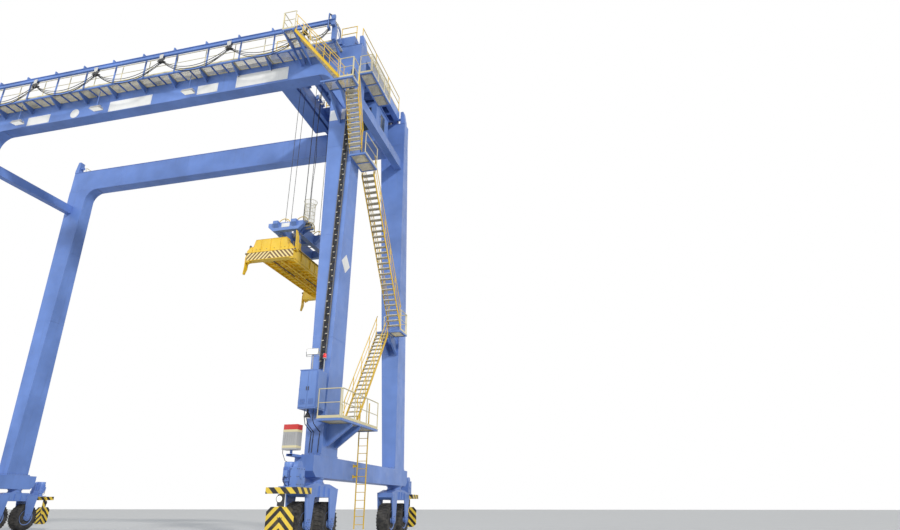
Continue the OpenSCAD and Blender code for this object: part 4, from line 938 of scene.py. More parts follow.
def floodlight(s, x, y, z):
    """Wide lamp that looks down, in a yoke on a pole under the walkway."""
    s.origin = (x, y, z)
    s.mark = 0
    s.rod((0, 0, 0.26), (0, 0, WALK - 0.05 - z), 0.018)
    s.slab((-0.35, 0, 0.255), (0.35, 0, 0.255), 0.04, 0.012)
    for side in PAIR:
        s.slab((side * 0.344, 0, 0.26), (side * 0.344, 0, 0.08), 0.012, 0.04, up=(0, 1, 0))
    s.mark = 1
    s.prism([(-0.17, 0.03), (0.17, 0.07), (0.13, 0.17), (0.01, 0.22), (-0.11, 0.19)], "x", -0.31, 0.62)
    for k in range(7):
        s.prism([(-0.12, 0.18), (0.12, 0.17), (0.02, 0.235), (-0.10, 0.22)], "x", -0.27 + 0.088 * k, 0.008)
    for side in PAIR:
        s.disc(0.03, 0.03, (side * 0.31, 0, 0.11), (side, 0, 0), 16)
    for y, z in ((-0.175, 0.025), (0.175, 0.068)):
        s.slab((-0.32, y, z), (0.32, y, z), 0.014, 0.03)
    s.mark = 2
    s.slab((-0.30, 0, 0.046), (0.30, 0, 0.046), 0.33, 0.012, up=(0, -0.118, 1))


s = Shape()
for x in (-8.65, -3.25, 2.6):
    floodlight(s, x, -4.2, 21.67)
s.done("girder_lamps", "blue_fine grey white_lens", "portal", "frame_blue")

# floodlight on a mast, beacon and horn round the cabinet at the near right leg
CABINET_LOW = PLATFORM + 0.35
CABINET_BACK = -leg_outer(CABINET_LOW) - 0.11
up = (0, 0, 1)
s = Shape(None, (HALF - 0.47, CABINET_BACK - 0.4, CABINET_LOW + 1.44))
s.rod((0, 0.03, 0), (0, 0.03, 0.93), 0.024, 14)
s.box((-0.06, -0.03, 0), (0.06, 0.09, 0.012))
s.box((-0.25, -0.05, 0.65), (0.25, 0, 0.89))
for k in range(9):
    x = -0.23 + 0.46 * k / 8
    s.box((x - 0.004, 0, 0.66), (x + 0.004, 0.035, 0.88))
for x in (-0.27, 0.27):
    s.slab((x, -0.02, 0.77), (x, 0.03, 0.60), 0.03, 0.008)
s.slab((-0.27, 0.03, 0.60), (0.27, 0.03, 0.60), 0.03, 0.008)
s.mark = 1
s.box((-0.22, -0.06, 0.67), (0.22, -0.05, 0.87))
s.mark = 0
s.origin = (HALF - 0.1, CABINET_BACK - 0.12, CABINET_LOW + 1.44)
s.rod((0, 0, 0), (0, 0, 0.56), 0.022, 14)
s.lathe([(0.075, 0.545), (0.075, 0.575), (0.06, 0.58)], (0, 0, 0), up, 28)
s.disc(0.05, 0.012, (0, 0, 0), up)
s.mark = 2
s.lathe([(0.062, 0.57), (0.065, 0.60), (0.065, 0.70), (0.05, 0.745), (0.02, 0.758)], (0, 0, 0), up)
s.mark = 3
s.origin = (HALF - 0.40, CABINET_BACK - 0.53, CABINET_LOW)
s.rod((0, 0, -0.12), (0, 0, 0), 0.028, 14)
s.lathe([(0.11, -0.30), (0.118, -0.28), (0.09, -0.20), (0.06, -0.13), (0.035, -0.11)], (0, 0, 0), up)
s.mark = 1
s.disc(0.10, 0.01, (0, 0, -0.305), up, 32)
s.done("leg_lamp_set", "grey white_lens red_lens black", "portal", "lamp_red", stands_for=["leg_lamps"])

# cabinet doors, hinges, louvres, latches and the cables below
s = Shape(None, (HALF - 0.7, CABINET_BACK - 0.8, CABINET_LOW))
for a, b in ((0.02, 0.345), (0.355, 0.68)):
    s.box((a, -0.018, 0.05), (b, 0, 1.36))
s.box((0.7, 0.05, 0.05), (0.716, 0.75, 1.36))
for z in (0.25, 0.70, 1.15):
    for x in (0.02, 0.68):
        s.rod((x, -0.02, z - 0.05), (x, -0.02, z + 0.05), 0.012)
for k in range(7):
    z = 0.16 + k * 0.03
    for x in (0.08, 0.41):
        s.slab((x, -0.022, z), (x + 0.21, -0.022, z), 0.012, 0.006, up=(0, -0.6, 1))
s.mark = 1
for x in (0.31, 0.39):
    s.box((x - 0.012, -0.04, 0.66), (x + 0.012, -0.018, 0.80))
s.mark = 2
leg = [(-leg_outer(z) - 0.02 - s.origin[1], z - CABINET_LOW) for z in (CABINET_LOW - 1.0, SILL + 0.12)]
for k, x in enumerate((0.15, 0.25, 0.5)):
    s.tube([(x, 0.3, 0), (x, 0.3, -0.25 - 0.05 * k), (x, 0.42, -0.5), (x + 0.05, 0.88, -0.75), (x + 0.05, *leg[0]),
            (x + 0.05, *leg[1])], 0.014, 8)
s.done("cabinet_doors", "blue_fine dark_steel cable", "portal", "frame_blue")


def rounded(grow, r=0.03, n=4):
    """Outline of the banded box in plan, grown or shrunk all round."""
    low, high = -grow, (0.55 + grow, 0.4 + grow)
    corners = ((high[0] - r, high[1] - r), (low + r, high[1] - r), (low + r, low + r), (high[0] - r, low + r))
    turns = [math.radians(90 * k / n) for k in range(n + 1)]
    return [(cx + r * math.cos(t + q), cy + r * math.sin(t + q))
            for (cx, cy), q in zip(corners, (0, math.pi / 2, math.pi, math.pi * 1.5)) for t in turns]


# banded box with a red lid beyond the sill end, on its bracket
s = Shape(None, (HALF - 0.88, -6.2, SILL + 0.12))
for look, grow, z, high in ((0, 0, 0, 0.66), (1, -0.005, 0.66, 0.02), (2, 0, 0.68, 0.18), (1, 0.004, 0.06, 0.08),
                            (1, 0.004, 0.60, 0.08)):
    s.mark = look
    s.prism(rounded(grow), "z", z, high)
s.mark = 3
for x0, x1, z0, z1 in ((0.15, 0.40, -0.21, -0.20), (0.15, 0.16, -0.20, -0.13), (0.39, 0.40, -0.20, -0.13),
                       (0.16, 0.39, -0.14, -0.13)):
    s.box((x0, 0.1, z0), (x1, 0.8, z1))
s.rod((0.275, 0.21, -0.13), (0.275, 0.21, 0), 0.045, 20)
s.mark = 0
for k in range(5):
    x = 0.1 + 0.0875 * k
    s.box((x - 0.006, -0.01, 0.18), (x + 0.006, 0, 0.56))
s.mark = 4
s.tube([(0, 0.2, 0.7), (-0.06, 0.2, 0.6), (-0.05, 0.2, -0.1), (0.02, 0.3, -0.35), (0.3, 0.55, -0.5)], 0.01, 8)
s.done("signal_box_shell", "grey cream red blue_fine cable", "portal", "grating_grey", stands_for=["signal_box"])

# cables on the ladder up the near right leg, with a tie every so often
s = Shape(None, (HALF - 0.33, 0, 0))
TRAY_LOW = PLATFORM + 2.0
for k, x in enumerate((-0.08, -0.045, -0.01, 0.03, 0.07)):
    heights = [TRAY_LOW + (BOTTOM - 0.1 - TRAY_LOW) * i / 39 for i in range(40)]
    s.tube([(x + 0.004 * math.sin(i * 1.7 + k), -leg_outer(z) - 0.075, z) for i, z in enumerate(heights)],
           0.013 + 0.002 * (k % 2), 8)
s.mark = 1
for i in range(54):
    z = PLATFORM + 2.3 + i * 0.28
    a, b = ((-0.105, -0.02), (-0.03, 0.05), (0.02, 0.095))[i * 2 % 3]
    s.box((a, -leg_outer(z) - 0.094, z), (b, -leg_outer(z) - 0.088, z + 0.03))
s.done("leg_cables", "cable grating", "portal", "rope_steel")

# Festoon
FEST_Y, FEST_LOW, TOW = -4.9, 23.80, 10.9
CARRIERS = [-11.3, -7.18, -3.06, 1.15, 5.26, 9.55]
ALONG_GIRDER = ("portal", "trolley", (-14.2 + SHIFT, 0, 0), (TOW + SHIFT, 0, 0))


def festoon_line(dy, drop, radius=0.24):
    """Points of one cable that hangs in loops from saddle to saddle."""
    y, top = FEST_Y + dy, FEST_LOW - 0.30
    stops = CARRIERS + [TOW]
    points = [(stops[0] - 0.12, y, top)]
    for a, b in zip(stops, stops[1:]):
        span = b - a
        rows, sag = (26, drop) if span > 3 else (12, drop * 0.62)
        slope = 4 * sag / span
        steep = math.sqrt(1 + slope * slope)
        reach = radius * slope / steep
        for k in range(rows + 1):
            x = a + span * k / rows
            if min(x - a, b - x) >= reach * 1.05:
                points.append((x, y, top - sag * (1 - (2 * k / rows - 1) ** 2)))
        if b != TOW:
            crown = top - sag * (1 - (1 - 2 * reach / span) ** 2) + radius * (1 - 1 / steep)
            for t in (-1, -0.66, -0.33, 0, 0.33, 0.66, 1):
                off = reach * t
                points.append((b + off, y, crown - radius + math.sqrt(radius * radius - off * off)))
    return points + [(TOW, y, top)]


CABLES = ((-0.045, 0.74, 0.017), (-0.008, 1.02, 0.014), (0.027, 0.83, 0.017), (0.062, 0.93, 0.013))
for number, (dy, drop, radius) in enumerate(CABLES, 1):
    line = festoon_line(dy, drop)
    s = Shape()
    s.tube(line, radius)
    obj = s.done(f"festoon_cable_{number}", "cable", ALONG_GIRDER, "rope_steel", smooth=80)


def arc(radius, degrees):
    """Points of a saddle in its own plane, from its top outward."""
    return [(radius * math.sin(t), radius * math.cos(t) - 0.46) for t in map(math.radians, degrees)]


s = Shape()
for x in CARRIERS:
    s.origin = (x, FEST_Y, FEST_LOW)
    s.mark = 0
    for side in PAIR:
        s.prism([(-0.13, 0.10), (0.13, 0.10), (0.10, -0.16), (-0.10, -0.16)], "y", side * 0.075 - 0.005, 0.01)
    s.box((-0.10, -0.075, -0.17), (0.10, 0.075, -0.15))
    s.box((-0.025, -0.083, -0.22), (0.025, 0.083, -0.165))
    s.mark = 1
    for side in PAIR:
        for dx in (-0.08, 0.08):
            s.lathe([(0.028, 0), (0.03, 0.004), (0.03, 0.024), (0.028, 0.028)],
                    (dx, side * 0.035, 0.062), (0, side, 0), 20)
            s.disc(0.010, 0.05, (dx, side * 0.04, 0.062), (0, side, 0), 10)
        s.disc(0.018, 0.02, (side * 0.13, 0, -0.05), (side, 0, 0), 16)
    s.mark = 2
    s.tube([(a, 0, b) for a, b in arc(0.19, range(-70, 71, 14))], 0.03, 8)
    for side in PAIR:
        s.prism(arc(0.25, range(-62, 63, 12)) + arc(0.10, range(62, -63, -12)), "y", side * 0.083 - 0.004, 0.008)
s.done("festoon_carriers", "galv dark_steel black", ALONG_GIRDER, "rope_steel")

# tow arm over the goosenecks and down outside the rail
s = Shape(None, (TOW, 0, 0))
s.box((-0.14, -3.66, 23.60), (0.14, -3.575, 23.98))
s.tube([(0, y, z) for y, z in ((-3.64, 23.86), (-3.70, 24.30), (-3.82, 24.42), (-4.86, 24.42), (-5.0, 24.38),
                               (-5.03, 24.26), (-5.03, 23.50))], 0.028, 14)
s.slab((0, -3.64, 23.75), (0, -4.15, 24.41), 0.012, 0.05, up=(0, 1, 1))
s.box((-0.05, -5.05, 23.44), (0.03, -4.80, 23.56))
s.mark = 1
for z in (23.66, 23.92):
    for x in (-0.1, 0.1):
        s.bolt((x, -3.66, z), (0, -1, 0), 0.014)
s.mark = 2
s.tube([(0.02, -4.84, 23.50), (0.07, -4.96, 23.50), (0.07, -5.02, 23.62)]
       + [(0.045, y, z) for y, z in ((-5.03, 24.22), (-4.98, 24.36), (-4.84, 24.455), (-3.84, 24.455),
                                     (-3.74, 24.36), (-3.68, 24.0))], 0.014, 8)
s.done("festoon_tow_arm", "blue_fine dark_steel cable", "trolley", "frame_blue")

# Trolley
EDGE = 3.075

# winch: a rope turn in every groove of the drum, its flanges and bolts
s = Shape(None, (DRUM_X, 0, DRUM_Z))
along_y, toward, up = (0, 1, 0), (0, -1, 0), (0, 0, 1)
for start, turns in ((-1.24, 22), (0.02, 20)):
    angles = [math.tau * k / 20 for k in range(turns * 20 + 1)]
    s.tube([(0.374 * math.sin(t), start + 0.05 * t / math.tau, -0.374 * math.cos(t)) for t in angles], 0.014, 6)
s.mark = 1
for y in (-1.3, -0.07, 1.16):
    s.lathe([(0.425, -0.004), (0.432, 0.0), (0.432, 0.04), (0.425, 0.044)], (0, y, 0), along_y, 48)
    s.bolts((0, -1.304, 0), toward, 0.15, 8, 0.012)
# motor fins, fan cowl, terminal box and flange
motor = 0.42
for c, d in around(30):
    x, z = motor + 0.243 * c, 0.243 * d
    s.slab((x, 0.70, z), (x, 1.22, z), 0.006, 0.03, up=(c, 0, d))
s.lathe([(0.245, 0.0), (0.25, 0.01), (0.25, 0.12), (0.23, 0.14), (0.10, 0.145)], (motor, 0.70, 0), toward, 36)
s.box((motor - 0.10, 0.86, 0.235), (motor + 0.10, 1.08, 0.36))
s.disc(0.27, 0.025, (motor, 1.395, 0), along_y, 40)
s.mark = 2
s.bolts((motor, 1.395, 0), toward, 0.25, 10, 0.011)
# gearcase: split flange, ribs and lids
s.mark = 1
left, right, front, back, top, deck = -0.3, 0.6, 1.45, 1.83, 0.24, DECK - DRUM_Z
s.box((left - 0.03, front - 0.03, -0.03), (right + 0.03, back + 0.03, 0.03))
for x in (left + 0.02, 0, 0.2, motor, right - 0.03):
    for z0, z1 in ((deck + 0.03, -0.03), (0.03, top - 0.02)):
        s.box((x, back, z0), (x + 0.015, back + 0.025, z1))
s.lathe([(0.13, 0), (0.13, 0.02), (0.10, 0.035)], (0, back, 0), along_y)
s.lathe([(0.09, 0), (0.09, 0.02), (0.07, 0.03)], (motor, back, 0), along_y, 28)
s.box((-0.1, front + 0.08, top), (0.2, back - 0.08, top + 0.02))
s.lathe([(0.03, 0), (0.03, 0.05), (0.045, 0.055), (0.045, 0.09), (0.02, 0.1)], (0.4, 1.64, top), up, 20)
s.mark = 2
for k in range(8):
    x = left + 0.03 + (right - left - 0.06) * k / 7
    for y in (back + 0.016, front - 0.016):
        s.bolt((x, y, 0.03), up, 0.011)
# bearing pedestals
for y in (-1.6, 1.2):
    s.mark = 1
    s.disc(0.16, 0.16, (0, y, 0), along_y, 32)
    s.disc(0.12, 0.03, (0, y - 0.03, 0), along_y, 28)
    s.box((-0.30, y - 0.03, deck), (0.30, y + 0.19, deck + 0.03))
    s.mark = 2
    for x in (-0.27, 0.27):
        for dy in (0.0, 0.16):
            s.bolt((x, y + dy, deck + 0.03), up, 0.014)
    for x in (-0.13, 0.13):
        s.bolt((x, y + 0.08, 0.13), up, 0.014)
s.done("winch_fittings", "rope galv dark_steel", "trolley", "grating_grey")


def laid_rope(x, y, low, high):
    """Upright rope of six strands laid round each other."""
    radius, lay, per_turn, sides = 0.0138, 0.24, 12, 12
    rows = round((high - low) / lay * per_turn)
    s = Shape(None, (x, y, low))
    verts = []
    for i in range(rows + 1):
        for k, (c, d) in enumerate(around(sides, math.tau * i / per_turn)):
            r = radius if k % 2 else radius * 0.85
            verts.append((r * c, r * d, (high - low) * i / rows))
    s.add(verts, skin(rows + 1, sides))
    return s


# falls of the hoist ropes
(_, _, fall_low), (_, _, fall_high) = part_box("hoist_ropes")
for number, (side, y) in enumerate(((side, y) for side in PAIR for y in SHEAVES), 1):
    x = HOIST + side * 0.5
    ends = drawn([(x, y, fall_high), (x, y, fall_low)])
    obj = laid_rope(x, y, fall_low, fall_high).done(
        f"hoist_rope_{number}", "rope", ("trolley", "hoisted", *ends), "rope_steel", smooth=80,
        stands_for=["hoist_ropes"])
    line = [(x, y, fall_high + (fall_low - fall_high) * k / 20) for k in range(21)]

# rope leads from the drum to the falls, over guide sheaves
s = Shape(None, (HOIST, 0, 0))
drum = DRUM_X - HOIST - 0.02
for y in SHEAVES:
    for x in (-0.5, 0.5):
        s.rod((x, y, 23.36), (x, y, 24.12), 0.014)
    s.tube([(0.5, y, 24.12), (0.515, y, 24.16), (0.55, y, 24.18), (drum, y * 0.9, DRUM_Z - 0.37)], 0.014, 8)
    s.tube([(-0.5, y, 24.12), (-0.485, y, 24.19), (-0.43, y, 24.23), (drum, y * 0.93, DRUM_Z - 0.365)], 0.014, 8)
for x, z in ((-0.34, 24.11), (0.66, 24.06)):
    s.mark = 1
    for y in SHEAVES:
        s.lathe([(0.17, -0.03), (0.17, -0.022), (0.146, -0.01), (0.146, 0.01), (0.17, 0.022), (0.17, 0.03)],
                (x, y, z), (0, 1, 0), 40)
    s.mark = 2
    for y0 in (-1.3, 0.5):
        s.rod((x, y0, z), (x, y0 + 0.8, z), 0.035, 16)
        for y in (y0, y0 + 0.37, y0 + 0.78):
            s.prism([(x - 0.13, DECK - 0.1), (x + 0.13, DECK - 0.1), (x + 0.06, z + 0.06), (x - 0.06, z + 0.06)],
                    "y", y, 0.02)
s.done("guide_sheaves", "rope galv blue_fine", "trolley", "rope_steel")


def pipe_railing(s, start, end, z, bays, high=1.1, knee=0.48, radius=0.021, toe=True):
    """Tube railing between two plan points."""
    a, b, up = Vector((*start, z)), Vector((*end, z)), Vector((0, 0, 1))
    inset = (b - a).normalized() * 0.025
    for k in range(bays + 1):
        p = a + (b - a) * k / bays + inset * ((k == 0) - (k == bays))
        s.rod(p, p + up * (high - radius), radius * 1.05, 14)
        s.disc(0.045, 0.01, p, up, 16)
    for level in (high - radius, high - radius - knee):
        s.rod(a + up * level, b + up * level, radius, 14)
    if toe:
        s.slab(a + up * 0.06, b + up * 0.06, 0.006, 0.1)


s = Shape()
pipe_railing(s, (6.325, -EDGE), (6.325, EDGE), 23.43, 4)
pipe_railing(s, (11.875, -EDGE + 0.06), (11.875, EDGE - 0.06), DECK, 3)
pipe_railing(s, (6.96, -3.325), (8.41, -3.325), 24.05, 2, high=0.9, knee=0.42, toe=False)
pipe_railing(s, (10.8, -3.325), (11.7, -3.325), 24.05, 1, high=0.9, knee=0.42, toe=False)
s.done("trolley_tube_railings", "yellow", "trolley", "stair_yellow", stands_for=["trolley_railings"])

# cage of wire mesh beside the winch
s = Shape(None, (HOIST, 0, DECK))
left, right, reach, wire = -0.51, 2.06, 1.96, 0.0018
for face in PAIR:
    y = face * reach
    s.mark = 0
    pipe_railing(s, (left, y), (right, y), 0, 4, high=1.0, knee=0.46, radius=0.026, toe=False)
    s.mark = 1
    for k in range(66):
        x = left + 0.02 + (right - left - 0.04) * k / 65
        s.box((x - wire, y - wire, 0.06), (x + wire, y + wire, 0.95))
    for k in range(24):
        z = 0.06 + 0.89 * k / 23
        s.box((left + 0.02, y - wire, z - wire), (right - 0.02, y + wire, z + wire))
s.mark = 0
for x in (left, right):
    s.rod((x, -reach, 0.974), (x, reach, 0.974), 0.026, 14)
s.done("machinery_cage", "yellow galv", "trolley", "stair_yellow", stands_for=["machinery_guard"])

# deck: walkway grating, edge strips, wheel caps and buffers
s = Shape()
grating(s, (6.31, -EDGE + 0.01), (6.89, EDGE - 0.01), 23.448, along="y")
for face in PAIR:
    s.mark = 2
    for x0, x1 in ((6.95, 7.05), (7.95, 10.65), (11.55, 11.68)):
        s.box((x0, face * 3.08 - 0.006, 24.05), (x1, face * 3.08 + 0.006, 24.052))
    for x in (7.5, 11.1):
        s.lathe([(0.075, 0), (0.075, 0.02), (0.055, 0.03)], (x, face * 3.575, 23.5505), (0, face, 0), 24)
        s.bolts((x, face * 3.575, 23.62), (0, face, 0), 0.11, 6, 0.012)
    s.mark = 3
    for x, side in ((6.9, -1), (11.7, 1)):
        s.box((x - 0.012, face * 3.2, 23.48), (x + 0.012, face * 3.45, 23.72))
        s.lathe([(0.05, 0), (0.075, 0.012), (0.075, 0.04), (0.045, 0.05)],
                (x + side * 0.01, face * 3.325, 23.6), (side, 0, 0), 24)
s.done("trolley_deck_fittings", "grating galv blue_fine black", "trolley", "grating_grey")

# machinery house: doors, ribs, louvres, handles, roof seams and downpipes
s = Shape(None, (HOIST + 2.2, 0, DECK))
wide, tall = 1.05, 1.5
for face in PAIR:
    s.box((0.12, face * 1.3, 0.08), (0.93, face * 1.312, tall - 0.1))
for k in range(14):
    y = -1.25 + 2.5 * k / 13
    for x in (-0.012, wide):
        s.box((x, y - 0.012, 0.02), (x + 0.012, y + 0.012, tall - 0.02))
s.mark = 1
for y in (-0.75, 0.75):
    for x, out, low, high, first, count in ((wide, 1, 0.72, 1.28, 0.76, 11), (0, -1, 0.82, 1.24, 0.87, 8)):
        s.box((x, y - 0.32, low), (x + out * 0.02, y + 0.32, high))
        x += out * 0.024
        for k in range(count):
            z = first + 0.046 * k
            s.slab((x, y - 0.29, z), (x, y + 0.29, z), 0.03, 0.006, up=(-out * 0.7, 0, 1))
s.mark = 2
for face in PAIR:
    s.rod((0.20, face * 1.34, 0.62), (0.20, face * 1.34, 0.82), 0.012)
    for z in (0.3, 1.2):
        s.rod((0.93, face * 1.32, z - 0.05), (0.93, face * 1.32, z + 0.05), 0.014)
s.mark = 0
for k in range(9):
    y = -1.3 + 2.6 * k / 8
    for eave, ridge in ((-0.05, 0.52), (wide + 0.05, 0.53)):
        s.slab((eave, y, tall + 0.046), (ridge, y, tall + 0.114), 0.03, 0.014)
s.mark = 3
for face in PAIR:
    s.rod((wide + 0.035, face * 1.27, 0.02), (wide + 0.035, face * 1.27, tall), 0.022)
s.done("house_panels", "house grey dark_steel galv", "trolley", "railing_cream")


# Operator's cab
def seal(s, points, width, depth, axis):
    """Rectangular section along a closed outline that lies across axis."""
    for a, b in zip(points, points[1:] + points[:1]):
        a, b = Vector(a), Vector(b)
        end = (b - a).normalized() * width / 2
        s.slab(a - end, b + end, depth, width, up=(b - a).cross(Vector(axis)))


s = Shape(None, (HALF - 2.45, 0.5, 20.3))
length, wide, tall, sill, head = 1.65, 1.9, 2.6, 1.0, 2.3
x = -0.004
seal(s, [(x, 0.14, sill), (x, wide - 0.14, sill), (x, wide - 0.14, head), (x, 0.14, head)], 0.05, 0.02, (1, 0, 0))
s.box((-0.01, wide / 2 - 0.02, sill), (0.03, wide / 2 + 0.02, head))
for y in (-0.004, wide + 0.004):
    seal(s, [(0.22, y, head), (1.30, y, head), (1.30, y, 0.85), (0.40, y, 0.70), (0.22, y, sill)],
         0.05, 0.02, (0, 1, 0))
# lower slanted pane, wiper, and the door at the back with its window, handle and hinges
s.mark = 1
s.prism([(-0.012, 0.79), (-0.002, 0.80), (0.55, 0.002), (0.54, -0.006)], "y", 0.2, wide - 0.4)
s.mark = 2
s.slab((-0.03, 0.75, sill + 0.05), (-0.03, 0.35, sill + 0.72), 0.01, 0.016, up=(1, 0, 0))
s.disc(0.03, 0.03, (-0.04, 0.75, sill + 0.02), (1, 0, 0), 16)
s.mark = 3
s.box((length, 0.55, 0.12), (length + 0.016, wide - 0.55, tall - 0.2))
s.mark = 0
x = length + 0.018
seal(s, [(x, 0.68, 2.25), (x, wide - 0.68, 2.25), (x, wide - 0.68, 1.2), (x, 0.68, 1.2)], 0.035, 0.012, (1, 0, 0))
s.mark = 1
s.box((length + 0.012, 0.70, 1.21), (length + 0.02, wide - 0.70, 2.24))
s.mark = 2
s.rod((length + 0.05, wide - 0.62, 0.95), (length + 0.05, wide - 0.62, 1.15), 0.012)
for z in (0.4, 1.2, 2.0):
    s.rod((length + 0.02, 0.54, z - 0.06), (length + 0.02, 0.54, z + 0.06), 0.015)
# lamps under the front and the cooler on the roof
for y in (0.3, wide - 0.3):
    s.mark = 4
    s.lathe([(0.06, 0), (0.10, 0.06), (0.11, 0.12), (0.10, 0.12)], (0.1, y, 0.10), (-0.5, 0, -1), 24)
    s.rod((0.14, y, 0.12), (0.42, y, 0.25), 0.02)
    s.mark = 5
    s.lathe([(0.095, 0.1), (0.095, 0.117), (0.05, 0.124)], (0.1, y, 0.10), (-0.5, 0, -1), 24)
s.mark = 3
s.box((0.35, 0.35, tall + 0.06), (1.15, 1.15, tall + 0.32))
for k in range(9):
    z = tall + 0.09 + 0.024 * k
    s.box((0.344, 0.4, z), (0.35, 1.1, z + 0.010))
# seat and consoles inside
s.mark = 4
s.box((0.75, 0.7, 0.5), (1.2, 1.2, 0.62))
s.slab((1.18, 0.95, 0.58), (1.32, 0.95, 1.3), 0.46, 0.1, up=(1, 0, 0.2))
s.lathe([(0.16, 0), (0.05, 0.03), (0.05, 0.40), (0.1, 0.44)], (0.98, 0.95, 0.06), (0, 0, 1), 20)
for y in (0.52, 1.22):
    s.box((0.65, y, 0.42), (1.15, y + 0.16, 0.74))
    s.rod((0.75, y + 0.08, 0.74), (0.73, y + 0.08, 0.86), 0.012)
    s.lathe([(0.012, 0), (0.025, 0.02), (0.02, 0.045)], (0.73, y + 0.08, 0.855), (0, 0, 1), 14)
s.done("cab_fittings", "black glass dark_steel blue_fine grey white_lens", "trolley", "cab_window")

# Headblock
s = Shape(None, (HOIST, 0, 0))
for face in PAIR:
    s.mark = 1
    for side in PAIR:
        s.lathe([(0.07, 0), (0.07, 0.02), (0.05, 0.028)], (side * 0.42, face * 1.95, 14.33), (0, face, 0), 28)
    s.mark = 0
    s.box((-0.22, face * 1.951 - 0.006, 14.22), (0.22, face * 1.951 + 0.006, 14.44))
for side, face in CORNERS:
    s.mark = 1
    for out in PAIR:
        centre = (side * 0.5 + out * 0.10, face * 0.9, 14.7)
        s.lathe([(0.085, 0), (0.085, 0.02), (0.06, 0.03)], centre, (out, 0, 0), 24)
        s.bolts(centre, (out, 0, 0), 0.18, 6, 0.01)
    # pins that hold the spreader's pedestals
    s.mark = 2
    x, y, axis = side * 0.58, face * 1.4, (side, 0, 0)
    s.lathe([(0.05, 0), (0.05, 0.03), (0.03, 0.035)], (x, y, 13.62), axis, 20)
    for dy in (-0.05, 0.05):
        for z in (13.72, 13.9):
            s.bolt((x, y + dy, z), axis, 0.010)
    s.box((side * 0.5 - 0.13, y - 0.13, 13.97), (side * 0.5 + 0.13, y + 0.13, 14.0))
    s.mark = 1
    for x in (0.70, 0.88):
        for y in (0.085, 1.74, 1.91):
            s.bolt((side * x, face * y, 14.49), (0, 0, 1), 0.012)
s.mark = 2
s.box((-0.30, 0.30, 14.30), (0.30, 0.62, 14.62))
s.box((-0.28, -0.66, 14.30), (0.10, -0.30, 14.56))
s.done("headblock_fittings", "white blue_fine grey", "hoisted", "frame_blue", bevel=0.004)

# yellow hoops over the sheaves
s = Shape()
hoop = [(0.36 * math.cos(t), 0.40 * math.sin(t) + 0.16) for t in (math.pi * k / 20 for k in range(21))]
for side in PAIR:
    s.origin = (HOIST + side * 0.5, 0, 14.50)
    for y in (-1.25, -0.56, 0.56, 1.25):
        s.tube([(a, y, b) for a, b in hoop], 0.022)
        for x in (-0.36, 0.36):
            s.rod((x, y, 0), (x, y, 0.16), 0.022, 10)
            s.box((x - 0.04, y - 0.04, -0.01), (x + 0.04, y + 0.04, 0.005))
            s.slab((x, y, 0), (x / 3, y, 0), 0.06, 0.02)
    for face in PAIR:
        for x, z in ((-0.36, 0.16), (0, 0.56), (0.36, 0.16)):
            s.rod((x, face * 1.25, z), (x, face * 0.56, z), 0.014, 10)
s.done("rope_hoops", "yellow", "hoisted", "spreader_yellow")

# basket on the headblock, with the end of the spreader cable laid in it
BASKET_X, BASKET_Y, BASKET_Z = HOIST + 0.98, -1.42, 14.30
s = Shape(None, (BASKET_X, BASKET_Y, BASKET_Z))
wide, lip, neck, tall = 0.26, 0.33, 1.25, 1.45
for c, d in around(20):
    s.tube([(wide * c, wide * d, 0), (wide * c, wide * d, neck), (lip * c, lip * d, tall)], 0.006, 6)
for z, r in ((0, wide), (0.4, wide), (0.8, wide), (neck, wide), (tall, lip)):
    s.tube([(r * c, r * d, z) for c, d in around(32)], 0.011, 8, closed=True)
s.disc(wide, 0.012, (0, 0, -0.01), (0, 0, 1), 32)
s.mark = 1
for y in (-0.15, 0.15):
    s.box((-0.38, y - 0.03, -0.08), (0.2, y + 0.03, -0.01))
    s.prism([(-0.35, -0.30), (0, -0.08), (-0.35, -0.08)], "y", y - 0.006, 0.012)
s.done("cable_basket", "cream blue_fine", "hoisted", "railing_cream")


def spreader_line():
    """Cable from the trolley down into the basket: a fall that sways a little, a spiral, and three turns."""
    top, spiral, coil, radius, first = 23.36, BASKET_Z + 0.67, BASKET_Z + 0.17, 0.17, math.tau * 1.1
    line = []
    for k in range(61):
        sway = math.sin(math.pi * k / 60) ** 2
        line.append((0.03 * sway * math.sin(k * 0.21), 0.035 * sway * math.cos(k * 0.17),
                     top + (spiral - top) * k / 60))
    for k in range(1, 49):
        u = k / 48
        turn, r = first * u * u, radius * u * u * (3 - 2 * u)
        line.append((r * math.cos(turn), r * math.sin(turn), spiral + (coil - spiral) * (1 - (1 - u) ** 2)))
    for k in range(1, 64):
        turn = first + math.tau * k / 22
        line.append((radius * math.cos(turn), radius * math.sin(turn), coil - 0.036 * k / 22))
    return [(BASKET_X + x, BASKET_Y + y, z) for x, y, z in line]


s = Shape()
line = spreader_line()
s.tube(line, 0.014)
ends = drawn([(BASKET_X, BASKET_Y, 23.3), (BASKET_X, BASKET_Y, BASKET_Z + 0.75)])
obj = s.done("spreader_cable", "cable", ("trolley", "hoisted", *ends), "rope_steel", smooth=80)
s = Shape(None, (BASKET_X, BASKET_Y, 23.37))
s.box((-0.14, -0.14, -0.01), (0.14, 0.14, 0.03))
s.lathe([(0.05, -0.10), (0.06, -0.09), (0.06, 0.0)], (0, 0, 0), (0, 0, 1), 24)
s.done("cable_gland", "galv", "trolley", "grating_grey")

